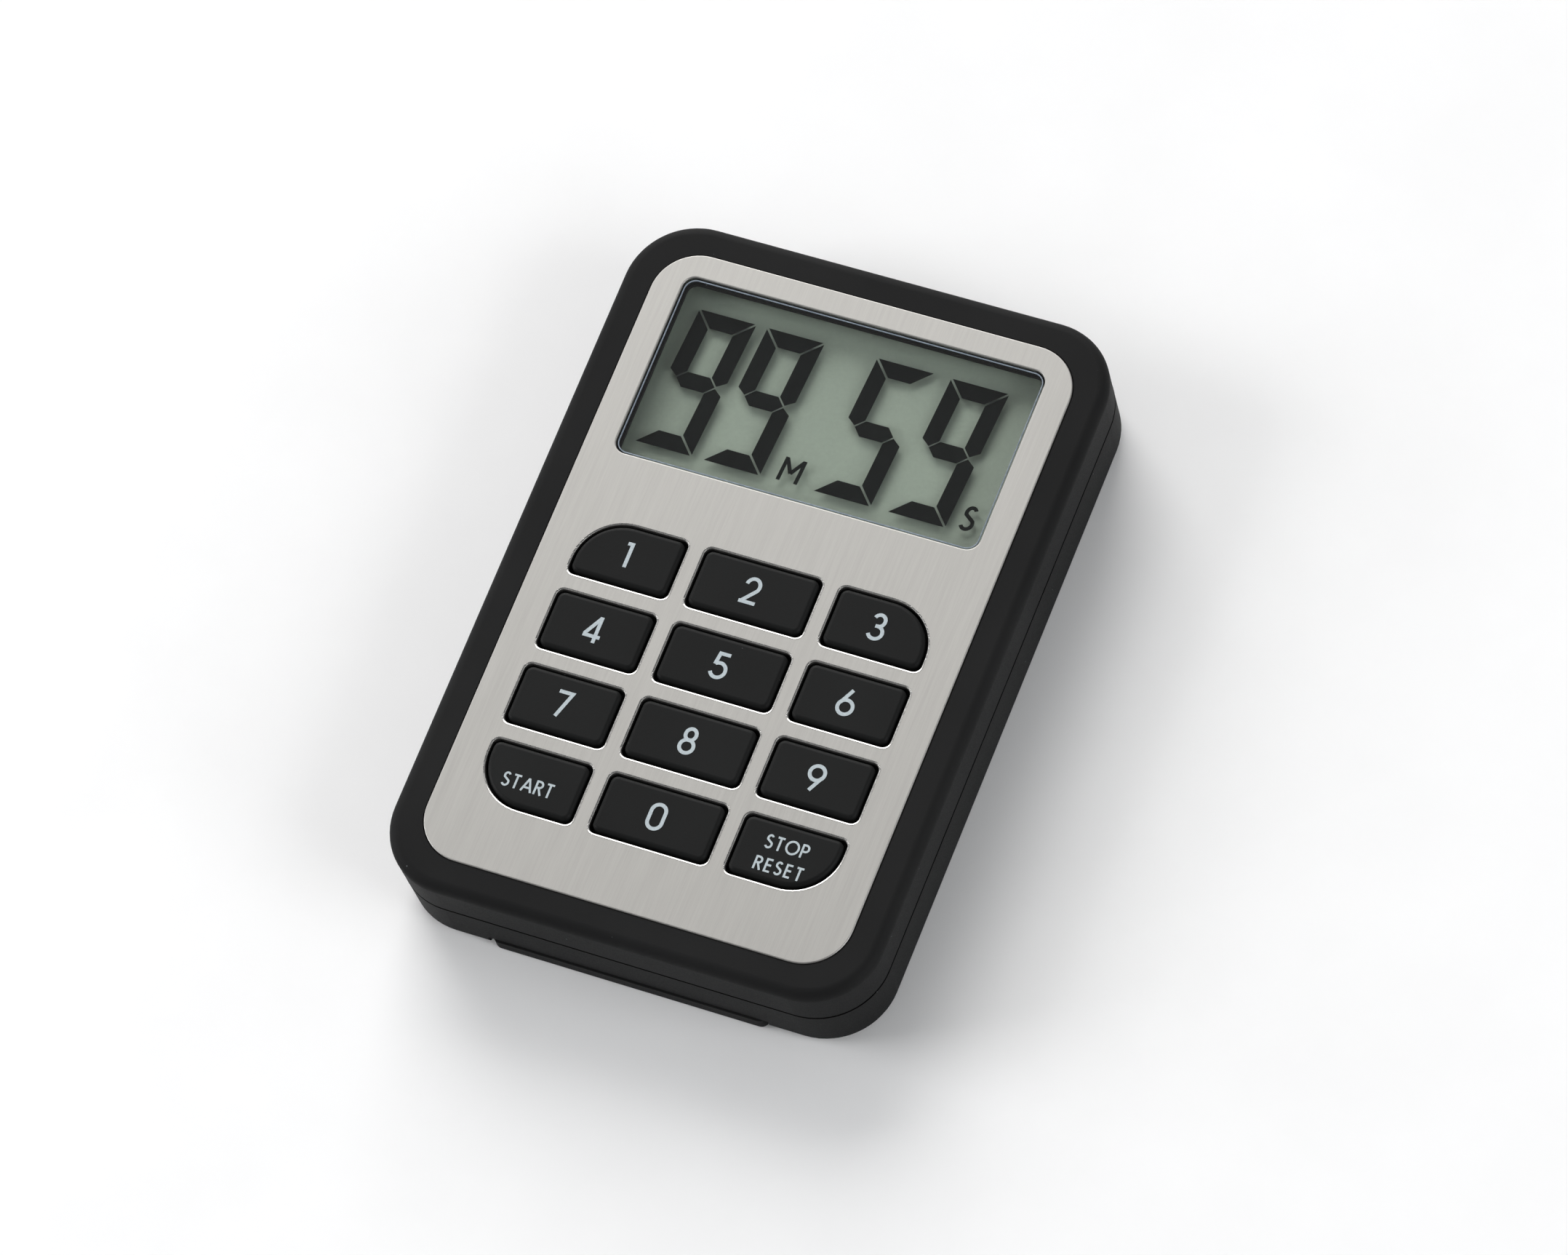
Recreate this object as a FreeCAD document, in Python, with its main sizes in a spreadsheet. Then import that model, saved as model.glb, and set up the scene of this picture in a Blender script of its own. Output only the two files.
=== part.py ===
import FreeCAD, Part
import math
import os
import Sketcher

# Digital keypad kitchen timer, lying on its back.
#   +Z comes out of the face, +Y runs to the display end, +X to the right of the face.
#   The origin is the middle of the rest plane: the closed stand and the magnet pad touch z = 0.
# All lengths are millimetres.

document = FreeCAD.newDocument("kitchen_timer")
sheet = document.addObject("Spreadsheet::Sheet", "Sizes")


# ---------------------------------------------------------------- sizes

class Size:
    """A number together with the sheet expression that gives it."""

    def __init__(self, number, text):
        self.number = number
        self.text = text

    def __add__(self, other):
        other = as_size(other)
        return Size(self.number + other.number, f"({self.text} + {other.text})")

    def __sub__(self, other):
        other = as_size(other)
        return Size(self.number - other.number, f"({self.text} - {other.text})")

    def __mul__(self, other):
        other = as_size(other)
        return Size(self.number * other.number, f"({self.text} * {other.text})")

    def __truediv__(self, other):
        other = as_size(other)
        return Size(self.number / other.number, f"({self.text} / {other.text})")

    def __neg__(self):
        return self * -1

    def lean_over(self, run):
        """The angle of a wall that moves by this much over a run."""
        angle = math.degrees(math.atan(self.number / run.number))
        return Size(angle, f"atan({self.text} / {run.text})")

    __radd__ = __add__
    __rmul__ = __mul__


def as_size(value):
    """Plain numbers become sizes, so that both can be bound in the same way."""
    if isinstance(value, Size):
        return value
    return Size(float(value), f"({float(value)!r})")


def driving(name, number):
    """Writes one driving dimension to the sheet and returns it as a Size."""
    driving.row += 1
    cell = f"A{driving.row}"
    sheet.set(cell, str(number))
    sheet.setAlias(cell, name)
    return Size(float(number), f"Sizes.{name}")


driving.row = 0

# Case
case_wide = driving("case_wide", 62.0)
case_long = driving("case_long", 90.3)
case_corner = driving("case_corner", 8.7)
case_deep = driving("case_deep", 13.4)
front_deep = driving("front_deep", 6.2)
waist_inset = driving("waist_inset", 0.15)
rear_inset = driving("rear_inset", 0.3)
front_edge_round = driving("front_edge_round", 1.3)
rear_edge_round = driving("rear_edge_round", 0.8)
side_wall = driving("side_wall", 1.8)
rear_wall = driving("rear_wall", 1.3)
rest_proud = driving("rest_proud", 0.6)
tongue_thick = driving("tongue_thick", 0.75)
tongue_tall = driving("tongue_tall", 1.1)
tongue_clearance = driving("tongue_clearance", 0.1)
inner_wall = driving("inner_wall", 1.2)
# Face plate, its glue sheet and the panel of the front housing behind it
border = driving("border", 4.0)
plate_corner = driving("plate_corner", 5.8)
plate_thick = driving("plate_thick", 0.5)
plate_proud = driving("plate_proud", 0.15)
plate_clearance = driving("plate_clearance", 0.12)
plate_edge_round = driving("plate_edge_round", 0.16)
glue_thick = driving("glue_thick", 0.15)
panel_thick = driving("panel_thick", 1.1)
# Keys
key_side_wide = driving("key_side_wide", 12.86)
key_middle_wide = driving("key_middle_wide", 15.07)
key_long = driving("key_long", 7.93)
key_bridge = driving("key_bridge", 2.14)
keys_below_top = driving("keys_below_top", 35.98)
opening_corner = driving("opening_corner", 0.9)
big_corner_share = driving("big_corner_share", 0.7566)
opening_big_corner = key_long * big_corner_share
key_clearance = driving("key_clearance", 0.35)
key_proud = driving("key_proud", 0.3)
key_edge_round = driving("key_edge_round", 0.5)
flange_overlap = driving("flange_overlap", 0.6)
flange_thick = driving("flange_thick", 0.8)
key_stop_gap = driving("key_stop_gap", 0.08)
key_travel = driving("key_travel", 0.8)
# Silicone mat
mat_thick = driving("mat_thick", 0.8)
mat_margin = driving("mat_margin", 0.45)
dome_foot_radius = driving("dome_foot_radius", 2.8)
dome_top_radius = driving("dome_top_radius", 1.9)
dome_hollow_radius = driving("dome_hollow_radius", 2.0)
dome_gap = driving("dome_gap", 0.05)
pill_radius = driving("pill_radius", 1.4)
pill_thick = driving("pill_thick", 0.3)
# Window and display
window_wide = driving("window_wide", 46.66)
window_long = driving("window_long", 24.33)
window_below_top = driving("window_below_top", 3.08)
window_corner = driving("window_corner", 1.6)
lens_clearance = driving("lens_clearance", 0.12)
lens_thick = driving("lens_thick", 1.0)
lens_sunk = driving("lens_sunk", 0.2)
lens_bevel = driving("lens_bevel", 0.25)
lens_ledge = driving("lens_ledge", 0.35)
glass_margin = driving("glass_margin", 0.9)
glass_shelf = driving("glass_shelf", 2.5)
glass_thick = driving("glass_thick", 0.7)
film_thick = driving("film_thick", 0.2)
reflector_thick = driving("reflector_thick", 0.3)
stack_gap = driving("stack_gap", 0.04)
zebra_wide = driving("zebra_wide", 1.8)
holder_border = driving("holder_border", 3.0)
# Circuit board
board_thick = driving("board_thick", 1.0)
board_wide = driving("board_wide", 46.4)
board_corner = driving("board_corner", 2.0)
board_foot_margin = driving("board_foot_margin", 3.95)
post_radius = driving("post_radius", 1.3)
post_across = driving("post_across", 14.0)
post_beyond_keys = driving("post_beyond_keys", 2.35)
post_above_keys = driving("post_above_keys", 3.44)
board_screw_radius = driving("board_screw_radius", 0.7)
board_screw_long = driving("board_screw_long", 3.0)
board_screw_head_radius = driving("board_screw_head_radius", 1.3)
board_screw_head_tall = driving("board_screw_head_tall", 0.7)
# Case screws
middle_screw_across = driving("middle_screw_across", 25.8)
foot_screw_across = driving("foot_screw_across", 24.3)
foot_screw_margin = driving("foot_screw_margin", 6.75)
screw_radius = driving("screw_radius", 0.9)
screw_long = driving("screw_long", 6.4)
screw_head_radius = driving("screw_head_radius", 1.9)
screw_head_tall = driving("screw_head_tall", 1.2)
screw_head_depth = driving("screw_head_depth", 1.8)
screw_clearance = driving("screw_clearance", 0.25)
front_boss_radius = driving("front_boss_radius", 2.3)
rear_boss_radius = driving("rear_boss_radius", 2.9)
boss_gap = driving("boss_gap", 0.05)
boss_top = driving("boss_top", 6.1)
# Stand
stand_wide = driving("stand_wide", 35.0)
stand_thick = driving("stand_thick", 2.0)
stand_reach = driving("stand_reach", 37.0)
stand_end_inset = driving("stand_end_inset", 0.05)
stand_corner = driving("stand_corner", 1.0)
stand_edge_round = driving("stand_edge_round", 0.4)
stand_clearance = driving("stand_clearance", 0.35)
barrel_radius = driving("barrel_radius", 2.4)
trunnion_radius = driving("trunnion_radius", 0.6)
trunnion_long = driving("trunnion_long", 1.5)
trunnion_clearance = driving("trunnion_clearance", 0.05)
grip_wide = driving("grip_wide", 16.0)
grip_long = driving("grip_long", 1.0)
grip_deep = driving("grip_deep", 0.5)
grip_pitch = driving("grip_pitch", 2.2)
# Magnets
magnet_long = driving("magnet_long", 18.0)
magnet_wide = driving("magnet_wide", 6.0)
magnet_thick = driving("magnet_thick", 2.0)
magnet_sunk = driving("magnet_sunk", 0.1)
magnet_clearance = driving("magnet_clearance", 0.1)
magnet_rim = driving("magnet_rim", 1.4)
magnet_below_top = driving("magnet_below_top", 7.2)
pad_corner = driving("pad_corner", 2.0)
pad_edge_round = driving("pad_edge_round", 0.35)
# Coin cell, its chamber and its twist door
cell_radius = driving("cell_radius", 10.0)
cell_thick = driving("cell_thick", 3.2)
cell_across = driving("cell_across", 12.3)
cell_below_top = driving("cell_below_top", 25.65)
cell_clearance = driving("cell_clearance", 0.3)
door_radius = driving("door_radius", 11.6)
door_clearance = driving("door_clearance", 0.2)
door_thick = driving("door_thick", 1.3)
lug_reach = driving("lug_reach", 0.9)
lug_thick = driving("lug_thick", 0.8)
lug_wide = driving("lug_wide", 4.0)
lug_clearance = driving("lug_clearance", 0.15)
coin_slot_long = driving("coin_slot_long", 14.0)
coin_slot_wide = driving("coin_slot_wide", 2.2)
coin_slot_deep = driving("coin_slot_deep", 0.7)
door_turn = driving("door_turn", 40.0)
contact_thick = driving("contact_thick", 0.25)
contact_wide = driving("contact_wide", 4.0)
# Buzzer
buzzer_radius = driving("buzzer_radius", 10.0)
buzzer_thick = driving("buzzer_thick", 0.25)
ceramic_radius = driving("ceramic_radius", 7.0)
ceramic_thick = driving("ceramic_thick", 0.25)
buzzer_across = driving("buzzer_across", 14.2)
buzzer_lift = driving("buzzer_lift", 1.1)
buzzer_seat = driving("buzzer_seat", 0.8)
buzzer_gap = driving("buzzer_gap", 0.2)
sound_hole_radius = driving("sound_hole_radius", 0.7)
sound_hole_ring = driving("sound_hole_ring", 2.6)
wire_radius = driving("wire_radius", 0.4)
wire_bend = driving("wire_bend", 1.2)
wire_apart = driving("wire_apart", 3.0)
wire_run = driving("wire_run", 9.0)
# Parts on the back of the board
blob_radius = driving("blob_radius", 5.0)
blob_tall = driving("blob_tall", 1.2)
crystal_radius = driving("crystal_radius", 1.0)
crystal_long = driving("crystal_long", 6.0)
coil_radius = driving("coil_radius", 2.4)
coil_tall = driving("coil_tall", 2.6)

# ---------------------------------------------------------------- levels and places

rest_plane = as_size(0.0)
rear_face = rest_plane + rest_proud
bezel_top = rear_face + case_deep
parting = bezel_top - front_deep
plate_top = bezel_top + plate_proud
plate_under = plate_top - plate_thick
panel_top = plate_under - glue_thick
panel_under = panel_top - panel_thick
rear_floor = rear_face + rear_wall
key_top = plate_top + key_proud
flange_top = panel_under - key_stop_gap
flange_under = flange_top - flange_thick
dome_roof = flange_under - dome_gap
pill_under = dome_roof - key_travel - pill_thick
mat_top = flange_under - key_travel - 0.4
board_top = mat_top - mat_thick
board_under = board_top - board_thick

plate_wide = case_wide - 2 * border
plate_long = case_long - 2 * border
cavity_wide = case_wide - 2 * (waist_inset + side_wall)
cavity_long = case_long - 2 * (waist_inset + side_wall)
cavity_corner = case_corner - waist_inset - side_wall

window_middle = plate_long / 2 - window_below_top - window_long / 2
key_column = key_middle_wide / 2 + key_bridge + key_side_wide / 2
key_pitch = key_long + key_bridge
keys_long = 4 * key_long + 3 * key_bridge
keys_wide = 2 * key_side_wide + key_middle_wide + 2 * key_bridge
keys_top = plate_long / 2 - keys_below_top
keys_foot = keys_top - keys_long
keys_middle = (keys_top + keys_foot) / 2
merge = as_size(0.3)
beyond = as_size(5.0)


# ---------------------------------------------------------------- drawing helpers

def bind(thing, path, size):
    """Ties a property of an object to a size."""
    thing.setExpression(path, as_size(size).text)


def new_body(label):
    body = document.addObject("PartDesign::Body", label)
    body.Label = label
    return body


def new_sketch(body, name, level=0, across=0, along=0, plane="XY_Plane"):
    """An empty sketch on one of the body's own planes, moved by bound offsets."""
    sketch = body.newObject("Sketcher::SketchObject", name)
    support = [each for each in body.Origin.OriginFeatures if each.Role == plane][0]
    sketch.AttachmentSupport = [(support, "")]
    sketch.MapMode = "FlatFace"
    bind(sketch, ".AttachmentOffset.Base.x", across)
    bind(sketch, ".AttachmentOffset.Base.y", along)
    bind(sketch, ".AttachmentOffset.Base.z", level)
    return sketch


def add_rounded(sketch, wide, long, corners):
    """A rectangle about the sketch's origin; corners run lower right, upper right,
    upper left, lower left, or one size serves all four."""
    wide = as_size(wide)
    long = as_size(long)
    if not isinstance(corners, (list, tuple)):
        corners = [corners] * 4
    corners = [as_size(each) for each in corners]
    radii = [each.number for each in corners]
    half_wide = wide.number / 2
    half_long = long.number / 2
    first = sketch.GeometryCount
    vector = FreeCAD.Vector
    ends = [
        ((-half_wide + radii[3], -half_long), (half_wide - radii[0], -half_long)),
        ((half_wide, -half_long + radii[0]), (half_wide, half_long - radii[1])),
        ((half_wide - radii[1], half_long), (-half_wide + radii[2], half_long)),
        ((-half_wide, half_long - radii[2]), (-half_wide, -half_long + radii[3])),
    ]
    for start, end in ends:
        sketch.addGeometry(Part.LineSegment(vector(*start, 0), vector(*end, 0)), False)
    centres = [
        (half_wide - radii[0], -half_long + radii[0]),
        (half_wide - radii[1], half_long - radii[1]),
        (-half_wide + radii[2], half_long - radii[2]),
        (-half_wide + radii[3], -half_long + radii[3]),
    ]
    for index, centre in enumerate(centres):
        circle = Part.Circle(vector(*centre, 0), vector(0, 0, 1), radii[index])
        start = math.radians(90 * index - 90)
        arc = Part.ArcOfCircle(circle, start, start + math.pi / 2)
        sketch.addGeometry(arc, False)
    for index in range(4):
        side = first + index
        arc = first + 4 + index
        following = first + (index + 1) % 4
        sketch.addConstraint(Sketcher.Constraint("Tangent", side, 2, arc, 1))
        sketch.addConstraint(Sketcher.Constraint("Tangent", arc, 2, following, 1))
        direction = "Horizontal" if index % 2 == 0 else "Vertical"
        sketch.addConstraint(Sketcher.Constraint(direction, side))
        number = sketch.addConstraint(Sketcher.Constraint("Radius", arc, radii[index]))
        bind(sketch, f"Constraints[{number}]", corners[index])
    distances = [
        (Sketcher.Constraint("DistanceY", first, 1, -1, 1, half_long), long),
        (Sketcher.Constraint("DistanceX", -1, 1, first + 1, 1, half_wide), wide),
        (Sketcher.Constraint("DistanceY", -1, 1, first + 2, 1, half_long), long),
        (Sketcher.Constraint("DistanceX", first + 3, 1, -1, 1, half_wide), wide),
    ]
    for constraint, size in distances:
        number = sketch.addConstraint(constraint)
        bind(sketch, f"Constraints[{number}]", size / 2)


def add_circle(sketch, radius):
    """A circle about the sketch's origin."""
    radius = as_size(radius)
    circle = Part.Circle(FreeCAD.Vector(0, 0, 0), FreeCAD.Vector(0, 0, 1), radius.number)
    index = sketch.addGeometry(circle, False)
    sketch.addConstraint(Sketcher.Constraint("Coincident", index, 3, -1, 1))
    number = sketch.addConstraint(Sketcher.Constraint("Radius", index, radius.number))
    bind(sketch, f"Constraints[{number}]", radius)


def add_polygon(sketch, points):
    """A closed outline of straight lines through bound points."""
    points = [(as_size(across), as_size(along)) for across, along in points]
    first = sketch.GeometryCount
    count = len(points)
    for index in range(count):
        start = points[index]
        end = points[(index + 1) % count]
        line = Part.LineSegment(
            FreeCAD.Vector(start[0].number, start[1].number, 0),
            FreeCAD.Vector(end[0].number, end[1].number, 0),
        )
        sketch.addGeometry(line, False)
    for index in range(count):
        following = first + (index + 1) % count
        sketch.addConstraint(Sketcher.Constraint("Coincident", first + index, 2, following, 1))
    for index, point in enumerate(points):
        for direction, size in zip(("DistanceX", "DistanceY"), point):
            constraint = Sketcher.Constraint(direction, -1, 1, first + index, 1, size.number)
            number = sketch.addConstraint(constraint)
            bind(sketch, f"Constraints[{number}]", size)


def pad(body, name, sketch, length, both_ways=False):
    """Adds material upwards from the sketch, or half each way."""
    feature = body.newObject("PartDesign::Pad", name)
    feature.Profile = sketch
    feature.Midplane = both_ways
    bind(feature, "Length", length)
    body.Tip = feature
    return feature


def drafted_pad(body, name, sketch, length, lean, downwards):
    """A pad whose walls draw in by lean over its length."""
    feature = pad(body, name, sketch, length)
    feature.Reversed = downwards
    bind(feature, "TaperAngle", -lean.lean_over(length))
    return feature


def pocket(body, name, sketch, depth=None, both_ways=False):
    """Removes material downwards from the sketch, or right through without a depth."""
    feature = body.newObject("PartDesign::Pocket", name)
    feature.Profile = sketch
    feature.Midplane = both_ways
    if depth is None:
        feature.Type = "ThroughAll"
    else:
        bind(feature, "Length", depth)
    body.Tip = feature
    return feature


def edges_at(feature, level):
    """The names of the edges that lie flat at a level."""
    document.recompute()
    names = []
    for index, edge in enumerate(feature.Shape.Edges):
        box = edge.BoundBox
        if abs(box.ZMin - level.number) < 0.001 and abs(box.ZMax - level.number) < 0.001:
            names.append(f"Edge{index + 1}")
    return names


def upright_edges(feature, along_limit):
    """The names of the straight upright edges beyond a place along Y."""
    document.recompute()
    names = []
    for index, edge in enumerate(feature.Shape.Edges):
        box = edge.BoundBox
        upright = box.XLength < 0.001 and box.YLength < 0.001
        if upright and box.YMax < along_limit.number:
            names.append(f"Edge{index + 1}")
    return names


def fillet(body, name, feature, edges, radius, kind="PartDesign::Fillet"):
    rounded = body.newObject(kind, name)
    rounded.Base = (feature, edges)
    bind(rounded, "Size" if kind.endswith("Chamfer") else "Radius", radius)
    body.Tip = rounded
    return rounded


def place(thing, across, along, level):
    bind(thing, ".Placement.Base.x", across)
    bind(thing, ".Placement.Base.y", along)
    bind(thing, ".Placement.Base.z", level)


def block(name, across, along, low, wide, long, tall):
    """A plain block whose middle is at (across, along) and whose foot is at low."""
    box = document.addObject("Part::Box", name)
    bind(box, "Length", wide)
    bind(box, "Width", long)
    bind(box, "Height", tall)
    place(box, as_size(across) - as_size(wide) / 2, as_size(along) - as_size(long) / 2, low)
    return box


def cylinder(name, across, along, low, radius, tall):
    round_bar = document.addObject("Part::Cylinder", name)
    bind(round_bar, "Radius", radius)
    bind(round_bar, "Height", tall)
    place(round_bar, across, along, low)
    return round_bar


def cone(name, across, along, low, foot_radius, top_radius, tall):
    taper = document.addObject("Part::Cone", name)
    bind(taper, "Radius1", foot_radius)
    bind(taper, "Radius2", top_radius)
    bind(taper, "Height", tall)
    place(taper, across, along, low)
    return taper


def fuse(name, parts):
    joined = document.addObject("Part::MultiFuse", name)
    joined.Shapes = parts
    return joined


def cut(name, base, tool):
    difference = document.addObject("Part::Cut", name)
    difference.Base = base
    difference.Tool = tool
    return difference


def group(name, parts):
    """Several separate solids that share one node."""
    compound = document.addObject("Part::Compound", name)
    compound.Links = parts
    return compound


nodes = {}


def keep(name, thing):
    """Names a finished sub-part; the name is also its file's."""
    thing.Label = name
    nodes[name] = thing


# ---------------------------------------------------------------- where things repeat

column_wides = [key_side_wide, key_middle_wide, key_side_wide]
column_places = [-key_column, as_size(0), key_column]
row_places = [keys_top - key_long / 2 - key_pitch * row for row in range(4)]
key_names = [
    ["key_1", "key_2", "key_3"],
    ["key_4", "key_5", "key_6"],
    ["key_7", "key_8", "key_9"],
    ["key_start", "key_0", "key_stop_reset"],
]
case_screw_places = [
    (middle_screw_across, keys_top + post_above_keys),
    (-middle_screw_across, keys_top + post_above_keys),
    (foot_screw_across, -case_long / 2 + foot_screw_margin),
    (-foot_screw_across, -case_long / 2 + foot_screw_margin),
]
post_places = [
    (post_across, keys_top + post_above_keys),
    (-post_across, keys_top + post_above_keys),
    (post_across, keys_foot - post_beyond_keys),
    (-post_across, keys_foot - post_beyond_keys),
]


def key_corners(row, column, small, big):
    """The four corner radii of a key: the keypad's outer corners are the big ones."""
    corners = [small, small, small, small]
    if column == 2 and row == 3:
        corners[0] = big
    if column == 2 and row == 0:
        corners[1] = big
    if column == 0 and row == 0:
        corners[2] = big
    if column == 0 and row == 3:
        corners[3] = big
    return corners


def cut_key_openings(body, level, depth, extra):
    """Twelve openings in a sheet or panel, each larger than the plate's by extra."""
    for row in range(4):
        for column in range(3):
            name = f"opening_{row}_{column}"
            sketch = new_sketch(body, f"{name}_outline", level, column_places[column], row_places[row])
            corners = key_corners(row, column, opening_corner + extra, opening_big_corner + extra)
            wide = column_wides[column] + 2 * extra
            add_rounded(sketch, wide, key_long + 2 * extra, corners)
            pocket(body, name, sketch, depth)


# ---------------------------------------------------------------- front housing

def make_front_housing():
    body = new_body("front_housing")
    face = new_sketch(body, "face_outline", bezel_top)
    add_rounded(face, case_wide, case_long, case_corner)
    shell = drafted_pad(body, "shell", face, front_deep, waist_inset, True)
    fillet(body, "front_edge", shell, edges_at(shell, bezel_top), front_edge_round)

    hollow = new_sketch(body, "hollow_outline", panel_under)
    add_rounded(hollow, cavity_wide, cavity_long, cavity_corner)
    pocket(body, "hollow", hollow)
    rabbet = new_sketch(body, "rabbet_outline", parting + tongue_tall + tongue_clearance)
    reach = tongue_thick + tongue_clearance
    add_rounded(rabbet, cavity_wide + 2 * reach, cavity_long + 2 * reach, cavity_corner + reach)
    pocket(body, "rabbet", rabbet)

    seat = new_sketch(body, "plate_seat_outline", bezel_top)
    gap = 2 * plate_clearance
    add_rounded(seat, plate_wide + gap, plate_long + gap, plate_corner + plate_clearance)
    pocket(body, "plate_seat", seat, bezel_top - panel_top)

    for index, (across, along) in enumerate(case_screw_places):
        boss = new_sketch(body, f"boss_{index}_outline", boss_top + boss_gap, across, along)
        add_circle(boss, front_boss_radius)
        pad(body, f"boss_{index}", boss, panel_under + merge - boss_top - boss_gap)
        bore = new_sketch(body, f"boss_bore_{index}_outline", panel_under - merge, across, along)
        add_circle(bore, screw_radius)
        pocket(body, f"boss_bore_{index}", bore)
    for index, (across, along) in enumerate(post_places):
        post = new_sketch(body, f"post_{index}_outline", board_top, across, along)
        add_circle(post, post_radius)
        pad(body, f"post_{index}", post, panel_under + merge - board_top)
        bore = new_sketch(body, f"post_bore_{index}_outline", panel_under, across, along)
        add_circle(bore, board_screw_radius)
        pocket(body, f"post_bore_{index}", bore)

    lens_seat = new_sketch(body, "lens_seat_outline", panel_top, 0, window_middle)
    add_rounded(lens_seat, window_wide, window_long, window_corner)
    lens_under = plate_top - lens_sunk - lens_thick
    pocket(body, "lens_seat", lens_seat, panel_top - lens_under)
    view = new_sketch(body, "view_outline", lens_under, 0, window_middle)
    ledge = 2 * lens_ledge
    add_rounded(view, window_wide - ledge, window_long - ledge, window_corner - lens_ledge)
    pocket(body, "view", view)
    cut_key_openings(body, panel_top, panel_thick + merge, as_size(0))
    keep("front_housing", body)


# ---------------------------------------------------------------- rear housing

cell_middle = case_long / 2 - cell_below_top
cell_place = (-cell_across, cell_middle)
buzzer_place = (buzzer_across, cell_middle)
hinge_along = -case_long / 2 + stand_end_inset + stand_reach
hinge_level = rest_plane + barrel_radius
stand_roof = rest_plane + stand_thick + 0.15
barrel_roof = hinge_level + barrel_radius + 0.2
magnet_middle = case_long / 2 - magnet_below_top
magnet_places = [-(magnet_long + magnet_rim) / 2, (magnet_long + magnet_rim) / 2]
magnet_low = rest_plane + magnet_sunk
magnet_roof = magnet_low + magnet_thick + 0.05
magnet_pad_wide = 2 * magnet_long + 3 * magnet_rim
magnet_pad_long = magnet_wide + 2 * magnet_rim
lug_low = rear_floor + lug_clearance
door_back = lug_low + lug_thick
cell_low = door_back + 0.1
chamber_step = door_back + lug_clearance
chamber_top = cell_low + cell_thick - 0.4
buzzer_low = rear_floor + buzzer_lift


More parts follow.
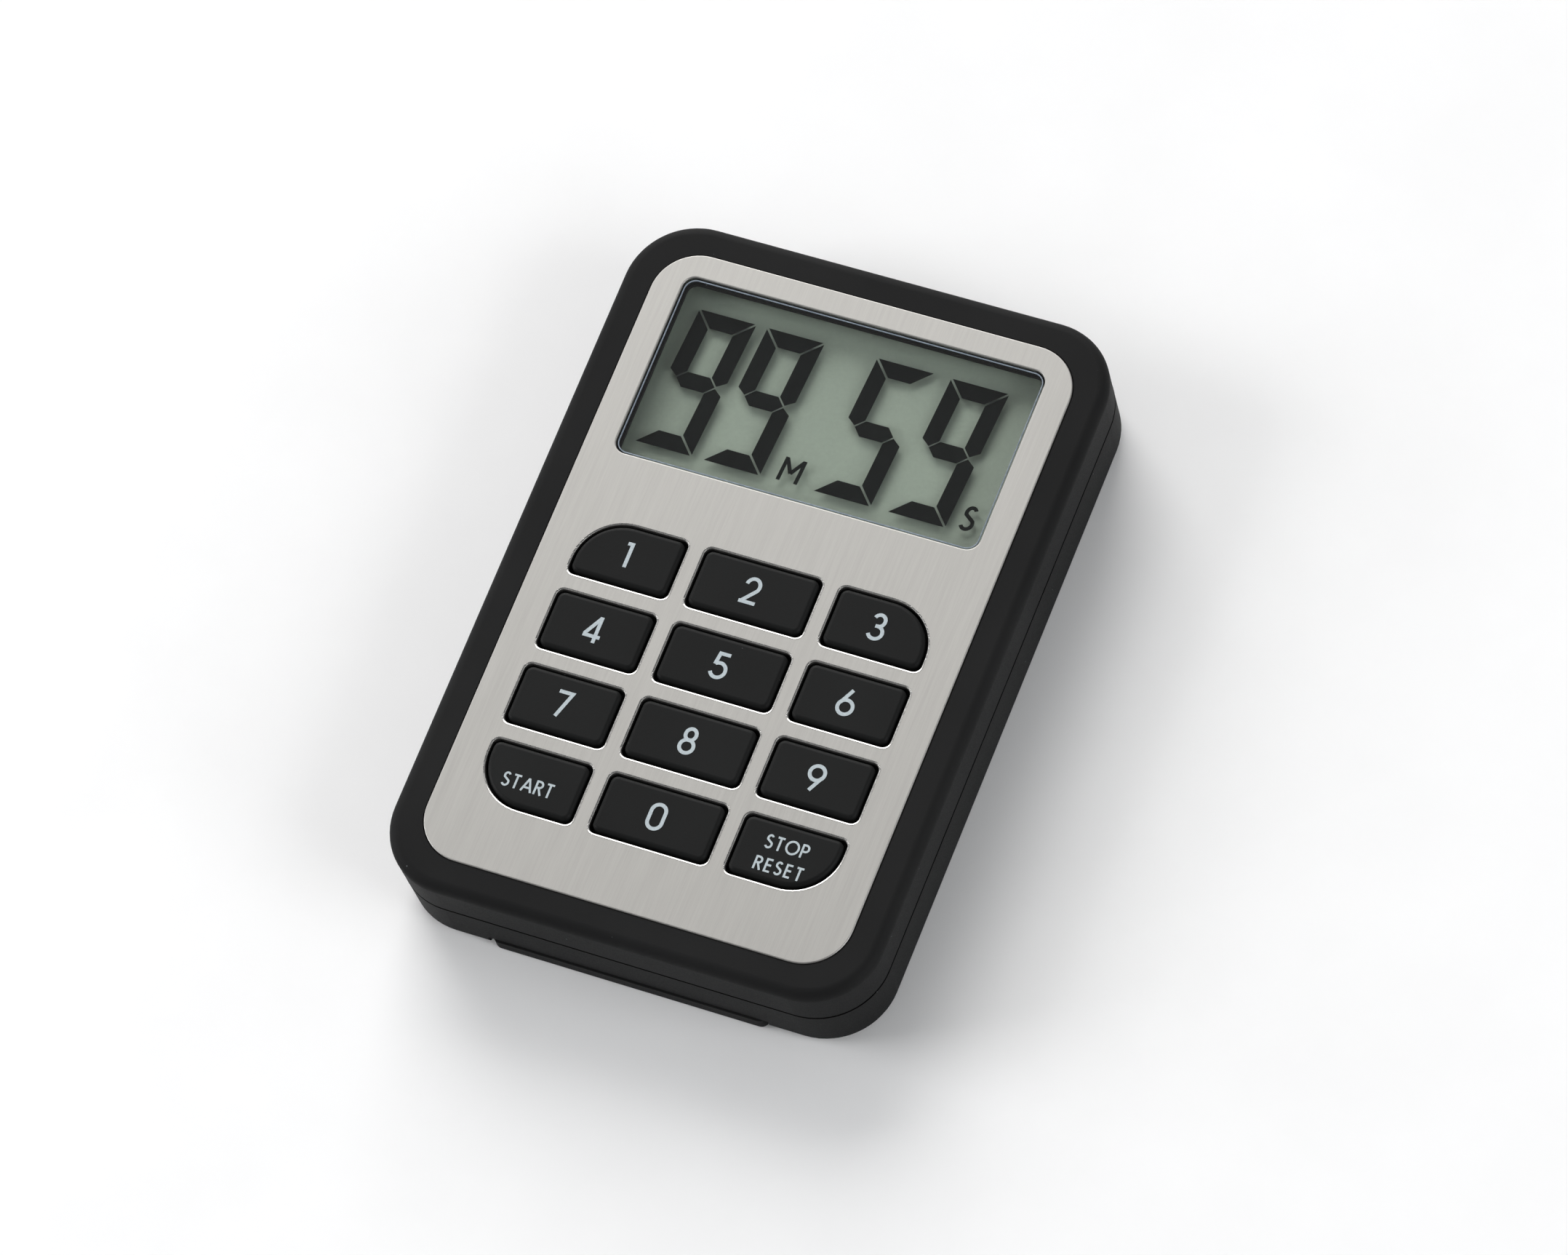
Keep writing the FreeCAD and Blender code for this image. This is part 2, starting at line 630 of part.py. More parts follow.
def make_rear_housing():
    body = new_body("rear_housing")
    back = new_sketch(body, "back_outline", rear_face)
    add_rounded(back, case_wide - 2 * rear_inset, case_long - 2 * rear_inset, case_corner - rear_inset)
    shell = drafted_pad(body, "shell", back, parting - rear_face, waist_inset - rear_inset, False)
    fillet(body, "rear_edge", shell, edges_at(shell, rear_face), rear_edge_round)

    magnet_pad = new_sketch(body, "magnet_pad_outline", rest_plane, 0, magnet_middle)
    add_rounded(magnet_pad, magnet_pad_wide, magnet_pad_long, pad_corner)
    pad_feature = pad(body, "magnet_pad", magnet_pad, rear_face + merge)
    fillet(body, "magnet_pad_edge", pad_feature, edges_at(pad_feature, rest_plane), pad_edge_round)

    hollow = new_sketch(body, "hollow_outline", parting)
    add_rounded(hollow, cavity_wide, cavity_long, cavity_corner)
    pocket(body, "hollow", hollow, parting - rear_floor)
    tongue = new_sketch(body, "tongue_outline", parting)
    reach = 2 * tongue_thick
    add_rounded(tongue, cavity_wide + reach, cavity_long + reach, cavity_corner + tongue_thick)
    add_rounded(tongue, cavity_wide, cavity_long, cavity_corner)
    pad(body, "tongue", tongue, tongue_tall)

    def raise_floor(name, across, along, wide, long, top):
        sketch = new_sketch(body, f"{name}_outline", rear_floor - merge, across, along)
        add_rounded(sketch, wide, long, inner_wall)
        pad(body, name, sketch, top - rear_floor + merge)

    def raise_ring(name, place_of, radius, top):
        sketch = new_sketch(body, f"{name}_outline", rear_floor - merge, *place_of)
        add_circle(sketch, radius)
        pad(body, name, sketch, top - rear_floor + merge)

    def bore(name, place_of, radius, level, depth=None):
        sketch = new_sketch(body, f"{name}_outline", level, *place_of)
        add_circle(sketch, radius)
        pocket(body, name, sketch, depth)

    # Floors that stand higher inside, over what is let into the back
    side = 2 * (stand_clearance + inner_wall)
    swing = barrel_radius + 0.2
    stand_low_end = -cavity_long / 2 - merge
    stand_high_end = hinge_along + swing + inner_wall
    stand_floor_long = stand_high_end - stand_low_end
    stand_floor_middle = (stand_high_end + stand_low_end) / 2
    raise_floor("stand_floor", 0, stand_floor_middle, stand_wide + side, stand_floor_long,
                stand_roof + inner_wall)
    barrel_side = 2 * (trunnion_long + trunnion_clearance + inner_wall)
    raise_floor("barrel_floor", 0, hinge_along, stand_wide + barrel_side, 2 * (swing + inner_wall),
                barrel_roof + 0.8)
    raise_floor("magnet_floor", 0, magnet_middle, magnet_pad_wide, magnet_pad_long, magnet_roof + 1.0)
    chamber_radius = door_radius + lug_reach + lug_clearance + inner_wall
    raise_ring("chamber", cell_place, chamber_radius, chamber_top)
    raise_ring("buzzer_ring", buzzer_place, buzzer_radius + buzzer_gap + 0.9,
               buzzer_low + buzzer_thick)
    for index, place_of in enumerate(case_screw_places):
        raise_ring(f"boss_{index}", place_of, rear_boss_radius, boss_top)

    # The stand's recess, open at the foot of the case, and the holes for its trunnions
    recess = new_sketch(body, "stand_recess_outline", stand_roof, 0, hinge_along / 2 - case_long / 4 - beyond / 2)
    recess_long = case_long / 2 + hinge_along + beyond
    add_rounded(recess, stand_wide + 2 * stand_clearance, recess_long, 0.3)
    pocket(body, "stand_recess", recess)
    barrel_recess = new_sketch(body, "barrel_recess_outline", barrel_roof, 0, hinge_along)
    add_rounded(barrel_recess, stand_wide + 2 * stand_clearance, 2 * swing, 0.3)
    pocket(body, "barrel_recess", barrel_recess)
    trunnion_hole = new_sketch(body, "trunnion_hole_outline", 0, hinge_along, hinge_level, "YZ_Plane")
    add_circle(trunnion_hole, trunnion_radius + trunnion_clearance)
    pocket(body, "trunnion_hole", trunnion_hole, stand_wide + 2 * (trunnion_long + 0.2), True)

    # The cell chamber: a wide step for the door's lugs, a bore for the cell and the way out
    bore("lug_step", cell_place, door_radius + lug_reach + lug_clearance, chamber_step,
         chamber_step - rear_floor)
    bore("cell_bore", cell_place, cell_radius + cell_clearance, chamber_top)
    bore("door_way", cell_place, door_radius + door_clearance, rear_floor)
    for index in range(3):
        notch = new_sketch(body, f"lug_notch_{index}_outline", rear_floor, *cell_place)
        turn = math.radians(90 + 120 * index) + math.radians(door_turn.number)
        notch_wide = lug_wide + 0.6
        reach = door_radius + lug_reach + lug_clearance
        corners = []
        for along, side_step in ((0.6, -0.5), (1.0, -0.5), (1.0, 0.5), (0.6, 0.5)):
            turned_cos = math.cos(turn)
            turned_sin = math.sin(turn)
            across = reach * (along * turned_cos) - notch_wide * (side_step * turned_sin)
            up = reach * (along * turned_sin) + notch_wide * (side_step * turned_cos)
            corners.append((across, up))
        add_polygon(notch, corners)
        pocket(body, f"lug_notch_{index}", notch)
    contact_slot = new_sketch(body, "contact_slot_outline", chamber_top, -cell_across,
                              cell_middle + cell_radius)
    add_rounded(contact_slot, contact_wide + 0.6, 2.0, 0.2)
    pocket(body, "contact_slot", contact_slot, chamber_top - cell_low)

    # The buzzer's seat and its sound holes
    bore("buzzer_seat", buzzer_place, buzzer_radius - buzzer_seat, buzzer_low + beyond,
         beyond + buzzer_lift)
    bore("buzzer_step", buzzer_place, buzzer_radius + buzzer_gap, buzzer_low + buzzer_thick,
         buzzer_thick)
    bore("sound_hole_middle", buzzer_place, sound_hole_radius, rear_floor)
    for index in range(6):
        turn = math.radians(60 * index)
        hole_place = (buzzer_across + sound_hole_ring * math.cos(turn),
                      cell_middle + sound_hole_ring * math.sin(turn))
        bore(f"sound_hole_{index}", hole_place, sound_hole_radius, rear_floor)

    for index, across in enumerate(magnet_places):
        socket = new_sketch(body, f"magnet_socket_{index}_outline", magnet_roof, across, magnet_middle)
        gap = 2 * magnet_clearance
        add_rounded(socket, magnet_long + gap, magnet_wide + gap, 0.1)
        pocket(body, f"magnet_socket_{index}", socket)

    for index, place_of in enumerate(case_screw_places):
        bore(f"screw_head_{index}", place_of, screw_head_radius + screw_clearance,
             rear_face + screw_head_depth)
        bore(f"screw_way_{index}", place_of, screw_radius + screw_clearance, boss_top)
    keep("rear_housing", body)


# ---------------------------------------------------------------- face plate, glue and lens

def make_face_plate():
    body = new_body("face_plate")
    outline = new_sketch(body, "outline", plate_under)
    add_rounded(outline, plate_wide, plate_long, plate_corner)
    pad(body, "sheet", outline, plate_thick)
    window = new_sketch(body, "window_outline", plate_top, 0, window_middle)
    add_rounded(window, window_wide, window_long, window_corner)
    pocket(body, "window", window)
    cut_key_openings(body, plate_top, plate_thick, as_size(0))
    last = body.Tip
    fillet(body, "rolled_edge", last, edges_at(last, plate_top), plate_edge_round)
    keep("face_plate", body)


def make_plate_glue():
    """The double-sided sheet that bonds the plate, a little back from every edge."""
    back_from_edge = as_size(0.3)
    body = new_body("plate_adhesive")
    outline = new_sketch(body, "outline", panel_top)
    shrink = 2 * back_from_edge
    add_rounded(outline, plate_wide - shrink, plate_long - shrink, plate_corner - back_from_edge)
    pad(body, "sheet", outline, glue_thick)
    window = new_sketch(body, "window_outline", plate_under, 0, window_middle)
    add_rounded(window, window_wide + shrink, window_long + shrink, window_corner + back_from_edge)
    pocket(body, "window", window)
    cut_key_openings(body, plate_under, glue_thick, back_from_edge)
    keep("plate_adhesive", body)


def make_lens():
    body = new_body("window_lens")
    outline = new_sketch(body, "outline", plate_top - lens_sunk - lens_thick, 0, window_middle)
    gap = 2 * lens_clearance
    add_rounded(outline, window_wide - gap, window_long - gap, window_corner - lens_clearance)
    sheet_feature = pad(body, "sheet", outline, lens_thick)
    top = plate_top - lens_sunk
    edges = edges_at(sheet_feature, top)
    fillet(body, "bevel", sheet_feature, edges, lens_bevel, "PartDesign::Chamfer")
    keep("window_lens", body)


# ---------------------------------------------------------------- keys

def make_key(name, row, column):
    """A cap that fills its opening and a flange that keeps it behind the panel."""
    body = new_body(name)
    gap = key_clearance
    wide = column_wides[column]
    flange = new_sketch(body, "flange_outline", flange_under)
    corners = key_corners(row, column, opening_corner, opening_big_corner)
    add_rounded(flange, wide + 2 * flange_overlap, key_long + 2 * flange_overlap, corners)
    pad(body, "flange", flange, flange_thick)
    cap = new_sketch(body, "cap_outline", flange_under)
    corners = key_corners(row, column, opening_corner, opening_big_corner - gap)
    add_rounded(cap, wide - 2 * gap, key_long - 2 * gap, corners)
    cap_feature = pad(body, "cap", cap, key_top - flange_under)
    fillet(body, "soft_edge", cap_feature, edges_at(cap_feature, key_top), key_edge_round)
    place(body, column_places[column], row_places[row], 0)
    keep(name, body)


def make_keys():
    for row in range(4):
        for column in range(3):
            make_key(key_names[row][column], row, column)


# ---------------------------------------------------------------- silicone mat and its pills

def make_mat():
    mat_wide = keys_wide + 2 * mat_margin
    mat_long = keys_long + 2 * mat_margin
    sheet_block = block("mat_sheet", 0, keys_middle, board_top, mat_wide, mat_long, mat_thick)
    domes = [sheet_block]
    hollows = []
    pills = []
    hollow_top = pill_under + pill_thick
    for row in range(4):
        for column in range(3):
            spot = (column_places[column], row_places[row])
            label = f"{row}_{column}"
            domes.append(cone(f"dome_{label}", *spot, mat_top - 0.1, dome_foot_radius,
                              dome_top_radius, dome_roof - mat_top + 0.1))
            hollows.append(cone(f"dome_hollow_{label}", *spot, board_top - 0.1, dome_hollow_radius,
                                pill_radius, hollow_top - board_top + 0.1))
            pills.append(cylinder(f"pill_{label}", *spot, pill_under, pill_radius, pill_thick))
    keep("keypad_mat", cut("keypad_mat", fuse("mat_solid", domes), fuse("mat_hollows", hollows)))
    keep("contact_pills", group("contact_pills", pills))


# ---------------------------------------------------------------- display

lens_under = plate_top - lens_sunk - lens_thick
film_top = panel_under - stack_gap
front_glass_top = film_top - film_thick
rear_glass_top = front_glass_top - glass_thick - stack_gap
reflector_top = rear_glass_top - glass_thick
holder_top = reflector_top - reflector_thick
front_glass_under = front_glass_top - glass_thick


def make_display():
    glass_wide = window_wide + 2 * glass_margin
    rear_long = window_long + 2 * glass_margin - 0.4
    rear_middle = window_middle + 0.2
    front_long = rear_long + glass_shelf
    front_middle = rear_middle - glass_shelf / 2
    film_wide = glass_wide - 0.6
    film_long = rear_long - 0.4
    front = block("lcd_front_glass", 0, front_middle, front_glass_under, glass_wide, front_long,
                  glass_thick)
    keep("lcd_front_glass", front)
    rear = block("lcd_rear_glass", 0, rear_middle, reflector_top, glass_wide, rear_long, glass_thick)
    keep("lcd_rear_glass", rear)
    film = block("lcd_front_polariser", 0, rear_middle, front_glass_top, film_wide, film_long,
                 film_thick)
    keep("lcd_front_polariser", film)
    mirror = block("lcd_reflector", 0, rear_middle, holder_top, film_wide, film_long,
                   reflector_thick)
    keep("lcd_reflector", mirror)
    holder_tall = holder_top - board_top
    outer = block("holder_outer", 0, rear_middle, board_top, film_wide, film_long, holder_tall)
    inner = block("holder_inner", 0, rear_middle, board_top - beyond, film_wide - 2 * holder_border,
                  film_long - 2 * holder_border, holder_tall + 2 * beyond)
    keep("lcd_holder", cut("lcd_holder", outer, inner))
    zebra_along = rear_middle - rear_long / 2 - glass_shelf + zebra_wide / 2 + 0.2
    zebra = block("zebra_connector", 0, zebra_along, board_top, glass_wide - 4.0, zebra_wide,
                  front_glass_under - board_top)
    keep("zebra_connector", zebra)
    return rear_middle + rear_long / 2


# ---------------------------------------------------------------- circuit board and its parts

def make_board(board_head):
    body = new_body("circuit_board")
    foot = keys_foot - board_foot_margin
    outline = new_sketch(body, "outline", board_under, 0, (foot + board_head) / 2)
    add_rounded(outline, board_wide, board_head - foot, board_corner)
    pad(body, "laminate", outline, board_thick)
    for index, (across, along) in enumerate(post_places):
        hole = new_sketch(body, f"hole_{index}_outline", board_top, across, along)
        add_circle(hole, board_screw_radius + 0.15)
        pocket(body, f"hole_{index}", hole)
    keep("circuit_board", body)


def make_board_parts():
    blob_along = keys_middle - key_pitch / 2
    dome = document.addObject("Part::Ellipsoid", "blob_dome")
    bind(dome, "Radius1", blob_tall)
    bind(dome, "Radius2", blob_radius)
    bind(dome, "Radius3", blob_radius)
    place(dome, 0, blob_along, board_under)
    trim = block("blob_trim", 0, blob_along, board_under, 4 * blob_radius, 4 * blob_radius, beyond)
    keep("chip_blob", cut("chip_blob", dome, trim))

    crystal = document.addObject("Part::Cylinder", "crystal_can")
    bind(crystal, "Radius", crystal_radius)
    bind(crystal, "Height", crystal_long)
    crystal.Placement = FreeCAD.Placement(FreeCAD.Vector(), FreeCAD.Rotation(FreeCAD.Vector(0, 1, 0), 90))
    place(crystal, 5.0, keys_top - 3.0, board_under - crystal_radius)
    keep("quartz_crystal", crystal)

    coil_place = (board_wide / 2 - 4.5, keys_top - 4.5)
    core = cylinder("coil_core", *coil_place, board_under - coil_tall, 0.45 * coil_radius, coil_tall)
    foot = cylinder("coil_foot", *coil_place, board_under - coil_tall, coil_radius, 0.5)
    top = cylinder("coil_top", *coil_place, board_under - 0.5, coil_radius, 0.5)
    winding = cylinder("coil_winding", *coil_place, board_under - coil_tall + 0.4,
                       0.85 * coil_radius, coil_tall - 0.8)
    keep("buzzer_coil", fuse("buzzer_coil", [core, foot, top, winding]))

    chips = []
    chip_spots = [(-12.0, 0.0), (-9.0, 0.0), (-6.0, 0.0), (14.0, -16.0), (14.0, -19.0), (-14.0, -17.0)]
    for index, (across, along) in enumerate(chip_spots):
        spot = keys_top - 2.0 + along
        chips.append(block(f"chip_{index}", across, spot, board_under - 0.6, 1.2, 2.0, 0.6))
    keep("small_components", group("small_components", chips))


def make_screw(name, across, along, head_low, head_radius, head_tall, shank_radius, shank_long):
    """A pan head below, a plain shank above and a cross recess in the head."""
    head = cylinder(f"{name}_head", across, along, head_low, head_radius, head_tall)
    shank = cylinder(f"{name}_shank", across, along, head_low + head_tall, shank_radius, shank_long)
    solid = fuse(f"{name}_solid", [head, shank])
    arm = 1.3 * head_radius
    thin = 0.28 * head_radius
    deep = 0.55 * head_tall
    slot_low = head_low - 1.0
    one = block(f"{name}_slot_across", across, along, slot_low, arm, thin, deep + 1.0)
    other = block(f"{name}_slot_along", across, along, slot_low, thin, arm, deep + 1.0)
    return cut(name, solid, fuse(f"{name}_slots", [one, other]))


def make_screws():
    case_screws = []
    for index, (across, along) in enumerate(case_screw_places):
        seat = rear_face + screw_head_depth
        case_screws.append(make_screw(f"case_screw_{index}", across, along, seat - screw_head_tall,
                                      screw_head_radius, screw_head_tall, screw_radius, screw_long))
    keep("case_screws", group("case_screws", case_screws))
    board_screws = []
    for index, (across, along) in enumerate(post_places):
        board_screws.append(make_screw(f"board_screw_{index}", across, along,
                                       board_under - board_screw_head_tall, board_screw_head_radius,
                                       board_screw_head_tall, board_screw_radius, board_screw_long))
    keep("board_screws", group("board_screws", board_screws))


# ---------------------------------------------------------------- cell, contacts and door

def make_cell():
    can = cylinder("cell_can", *cell_place, cell_low, cell_radius, cell_thick - 0.25)
    cap = cylinder("cell_cap", *cell_place, cell_low + cell_thick - 0.3, cell_radius - 1.4, 0.3)
    keep("coin_cell", fuse("coin_cell", [can, cap]))


def make_contacts():
    """A centre leaf for the cell's cap and a side leaf for its can, both under the board."""
    cell_top = cell_low + cell_thick
    body = new_body("contact_minus")
    sketch = new_sketch(body, "side_view", -cell_middle, -cell_across, 0, "XZ_Plane")
    thick = contact_thick
    add_polygon(sketch, [
        (-5.5, board_under - thick), (-2.5, board_under - thick), (1.0, cell_top),
        (4.0, cell_top + 0.3), (4.0, cell_top + 0.3 + thick), (0.9, cell_top + thick),
        (-2.4, board_under), (-5.5, board_under),
    ])
    pad(body, "leaf", sketch, contact_wide, True)
    keep("contact_minus", body)

    body = new_body("contact_plus")
    sketch = new_sketch(body, "side_view", -cell_across, cell_middle + cell_radius, 0, "YZ_Plane")
    add_polygon(sketch, [
        (0.05, cell_low + 0.5), (0.05 + thick, cell_low + 0.5), (0.05 + thick, board_under - thick),
        (3.0, board_under - thick), (3.0, board_under), (0.05, board_under),
    ])
    pad(body, "leaf", sketch, contact_wide, True)
    keep("contact_plus", body)


def make_door():
    """A round door with three lugs; a coin turns it from the locked to the open mark."""
    body = new_body("battery_door")
    disc = new_sketch(body, "disc_outline", rear_face)
    add_circle(disc, door_radius)
    disc_feature = pad(body, "disc", disc, door_back - rear_face)
    fillet(body, "disc_edge", disc_feature, edges_at(disc_feature, rear_face), as_size(0.25))
    for index in range(3):
        turn = math.radians(90 + 120 * index)
        lug = new_sketch(body, f"lug_{index}_outline", lug_low)
        reach = door_radius + lug_reach
        corners = []
        for along, side_step in ((0.5, -0.5), (1.0, -0.42), (1.0, 0.42), (0.5, 0.5)):
            across = reach * (along * math.cos(turn)) - lug_wide * (side_step * math.sin(turn))
            up = reach * (along * math.sin(turn)) + lug_wide * (side_step * math.cos(turn))
            corners.append((across, up))
        add_polygon(lug, corners)
        pad(body, f"lug_{index}", lug, lug_thick)
    hollow = new_sketch(body, "hollow_outline", door_back)
    add_circle(hollow, cell_radius - 0.6)
    pocket(body, "hollow", hollow, door_back - rear_face - door_thick)
    slot = new_sketch(body, "coin_slot_outline", rear_face + coin_slot_deep)
    add_rounded(slot, coin_slot_long, coin_slot_wide, coin_slot_wide / 2 - 0.05)
    pocket(body, "coin_slot", slot)
    place(body, *cell_place, 0)
    keep("battery_door", body)


# ---------------------------------------------------------------- buzzer and its wires

def make_buzzer():
    plate = cylinder("buzzer_plate", *buzzer_place, buzzer_low, buzzer_radius, buzzer_thick)
    keep("buzzer_plate", plate)
    ceramic = cylinder("buzzer_ceramic", *buzzer_place, buzzer_low + buzzer_thick, ceramic_radius,
                       ceramic_thick)
    keep("buzzer_ceramic", ceramic)
    wire_foot = buzzer_low + buzzer_thick + ceramic_thick
    for name, side in (("buzzer_wire_red", -0.5), ("buzzer_wire_black", 0.5)):
        across = (buzzer_across + wire_apart * side).number
        start = cell_middle.number + ceramic_radius.number - 6.0
        low = wire_foot.number
        high = board_under.number
        bend = min(wire_bend.number, 0.45 * (high - low))
        middle = (low + high) / 2
        end = start - wire_run.number
        point = FreeCAD.Vector
        half = bend * (1 - math.sqrt(0.5))
        lines = [
            Part.LineSegment(point(across, start, low), point(across, start, middle - bend)).toShape(),
            Part.Arc(point(across, start, middle - bend), point(across, start - half, middle - half),
                     point(across, start - bend, middle)).toShape(),
            Part.LineSegment(point(across, start - bend, middle),
                             point(across, end + bend, middle)).toShape(),
            Part.Arc(point(across, end + bend, middle), point(across, end + half, middle + half),
                     point(across, end, middle + bend)).toShape(),
            Part.LineSegment(point(across, end, middle + bend), point(across, end, high)).toShape(),
        ]
        path = Part.Wire(lines)
        ring = Part.Wire([Part.Circle(point(across, start, low), point(0, 0, 1), wire_radius.number).toShape()])
        wire = document.addObject("Part::Feature", name)
        wire.Shape = path.makePipeShell([ring], True, False)
        section = math.pi * wire_radius.number ** 2
        print(name, "volume", round(wire.Shape.Volume, 3), "section x length", round(section * path.Length, 3))
        keep(name, wire)


# ---------------------------------------------------------------- magnets and stand

def make_magnets():
    bars = []
    for index, across in enumerate(magnet_places):
        bars.append(block(f"magnet_{index}", across, magnet_middle, magnet_low, magnet_long,
                          magnet_wide, magnet_thick))
    keep("magnets", group("magnets", bars))


def make_stand():
    """A flap along the back that swings out on two trunnions; modelled about its own hinge."""
    body = new_body("stand")
    outline = new_sketch(body, "flap_outline", rest_plane - hinge_level, 0, -stand_reach / 2)
    add_rounded(outline, stand_wide, stand_reach, [stand_corner, 0.1, 0.1, stand_corner])
    flap = pad(body, "flap", outline, stand_thick)
    fillet(body, "flap_edge", flap, edges_at(flap, rest_plane - hinge_level), stand_edge_round)
    barrel = new_sketch(body, "barrel_outline", 0, 0, 0, "YZ_Plane")
    add_circle(barrel, barrel_radius)
    pad(body, "barrel", barrel, stand_wide, True)
    trunnion = new_sketch(body, "trunnion_outline", 0, 0, 0, "YZ_Plane")
    add_circle(trunnion, trunnion_radius)
    pad(body, "trunnion", trunnion, stand_wide + 2 * trunnion_long, True)
    for index in range(3):
        along = -stand_reach + 4.0 + grip_pitch * index
        grip = new_sketch(body, f"grip_{index}_outline", rest_plane - hinge_level + grip_deep, 0, along)
        add_rounded(grip, grip_wide, grip_long, grip_long / 2 - 0.02)
        pocket(body, f"grip_{index}", grip)
    place(body, 0, hinge_along, hinge_level)
    keep("stand", body)


# ---------------------------------------------------------------- build, check and write

make_front_housing()
make_rear_housing()
make_face_plate()
make_plate_glue()
make_lens()
make_keys()
make_mat()
head_of_glass = make_display()
make_board(head_of_glass)
make_board_parts()
make_screws()
make_cell()
make_contacts()
make_door()
make_buzzer()
make_magnets()
make_stand()
document.recompute()

faults = []
for thing in document.Objects:
    if "Invalid" in thing.State or "Error" in thing.State:
        faults.append(f"{thing.Name}: {thing.getStatusString()}")
for name, thing in nodes.items():
    if thing.Shape.isNull() or not thing.Shape.isValid():
        faults.append(f"{name}: shape is null or not valid")
if faults:
    raise RuntimeError("; ".join(faults))

os.makedirs("parts", exist_ok=True)
for name, thing in nodes.items():
    thing.Shape.exportStep(f"parts/{name}.step")
    box = thing.Shape.BoundBox
    print(f"{name}: {len(thing.Shape.Solids)} solid(s), {thing.Shape.Volume:.2f} mm3, "
          f"z {box.ZMin:.2f} to {box.ZMax:.2f}")
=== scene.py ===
# %% [markdown]
# # A keypad kitchen timer, finished in Blender
#
# The CAD model already holds every solid of this timer: housings, steel plate, keys, display stack,
# board, cell, buzzer, stand. This script loads it as a fixed frame and adds what a solid can't say:
# the finish of every surface, the printed legends on the keys, the figures on the display and the
# marks moulded into the back. It could also be done by hand in the editor, but a script gives the
# same result each time and can be read from top to bottom.

# %% Load the frame
import math

import bpy
import numpy as np
from mathutils import Matrix, Vector


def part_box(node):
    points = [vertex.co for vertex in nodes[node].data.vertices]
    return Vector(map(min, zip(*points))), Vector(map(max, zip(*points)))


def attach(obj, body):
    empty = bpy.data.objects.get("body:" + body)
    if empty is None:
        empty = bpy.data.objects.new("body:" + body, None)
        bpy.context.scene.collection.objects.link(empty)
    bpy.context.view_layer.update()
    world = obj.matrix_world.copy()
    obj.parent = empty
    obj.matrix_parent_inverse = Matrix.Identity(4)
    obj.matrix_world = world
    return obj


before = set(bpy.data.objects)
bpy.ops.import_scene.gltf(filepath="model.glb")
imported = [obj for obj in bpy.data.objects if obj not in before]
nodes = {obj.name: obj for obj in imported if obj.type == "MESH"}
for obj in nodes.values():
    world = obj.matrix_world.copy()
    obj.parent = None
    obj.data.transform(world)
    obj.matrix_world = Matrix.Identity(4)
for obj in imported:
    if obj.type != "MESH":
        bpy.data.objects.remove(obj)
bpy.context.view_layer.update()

MM = 0.001

# %% [markdown]
# ## Camera
#
# A timer like this is shown from above and a little from the right of its foot, far enough away
# that its long sides stay nearly parallel. The camera is turned about its own line of sight, so the
# timer stands upright in the frame. A rotation can be given as angles, but three unit directions
# (right, up and back) say the same thing without the order of turns getting in the way.

# %% Place the camera
def unit(vector):
    """The vector divided by its own length."""
    vector = np.asarray(vector, float)
    return vector / np.linalg.norm(vector)


def add_camera(eye, aim, roll_up, lens):
    """Looks from eye to aim; right is up x back, and up is back x right, so the three are square."""
    back = unit(np.subtract(eye, aim))
    right = unit(np.cross(roll_up, back))
    up = np.cross(back, right)
    data = bpy.data.cameras.new("camera")
    data.lens, data.sensor_width, data.sensor_fit = lens, 36.0, "HORIZONTAL"
    data.clip_start, data.clip_end = 0.02, 20.0
    camera = bpy.data.objects.new("camera", data)
    bpy.context.scene.collection.objects.link(camera)
    placed = Matrix.Identity(4)
    for axis, direction in enumerate((right, up, back)):
        placed.col[axis] = (*direction, 0.0)
    placed.col[3] = (*eye, 1.0)
    camera.matrix_world = placed
    return camera


EYE_OVER_FACE = (296.447, -333.228, 856.347)
AIM_ON_FACE = (5.15, -1.93, 0.0)
ROLL_UP = (-0.26314, 0.86627, 0.42465)
LENS_MM = 189.53
face_level = (0.0, 0.0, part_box("face_plate")[1].z / MM)
eye = np.add(EYE_OVER_FACE, face_level) * MM
aim = np.add(AIM_ON_FACE, face_level) * MM
bpy.context.scene.camera = add_camera(eye, aim, ROLL_UP, LENS_MM)
print("camera distance", round(float(np.linalg.norm(eye - aim)), 3), "m")

# %% [markdown]
# ## Light and floor
#
# Small products are lit in a tent of white cloth: one large soft source, and pale surroundings that
# fill the shadows. Here the world is the tent, and one big square lamp behind the head of the timer,
# slightly to its left, is the window side of the tent. It draws the bright line along the rolled
# edges of the steel and the shade that the plate throws on the display. The cloth is darker
# overhead, where the camera looks in, and that is what keeps black plastic black and the lens clear.
# A weak lamp overhead evens out the steel, and two small ones near the floor soften the walls.
# Clear layers lie one above the other over the display, so the number of clear surfaces that light
# may pass is raised.

# %% Lamps, world and floor
def add_softbox(name, place, side, watts, tint):
    """A square lamp whose local -Z points at the middle of the timer."""
    data = bpy.data.lights.new(name, "AREA")
    data.shape, data.size, data.size_y = "RECTANGLE", side, side
    data.energy, data.color = watts, tint
    lamp = bpy.data.objects.new(name, data)
    bpy.context.scene.collection.objects.link(lamp)
    lamp.location = place
    lamp.rotation_euler = Vector(place).to_track_quat("Z", "Y").to_euler()


RIM_ENDS, ROOF_STARTS = 0.25, 0.85


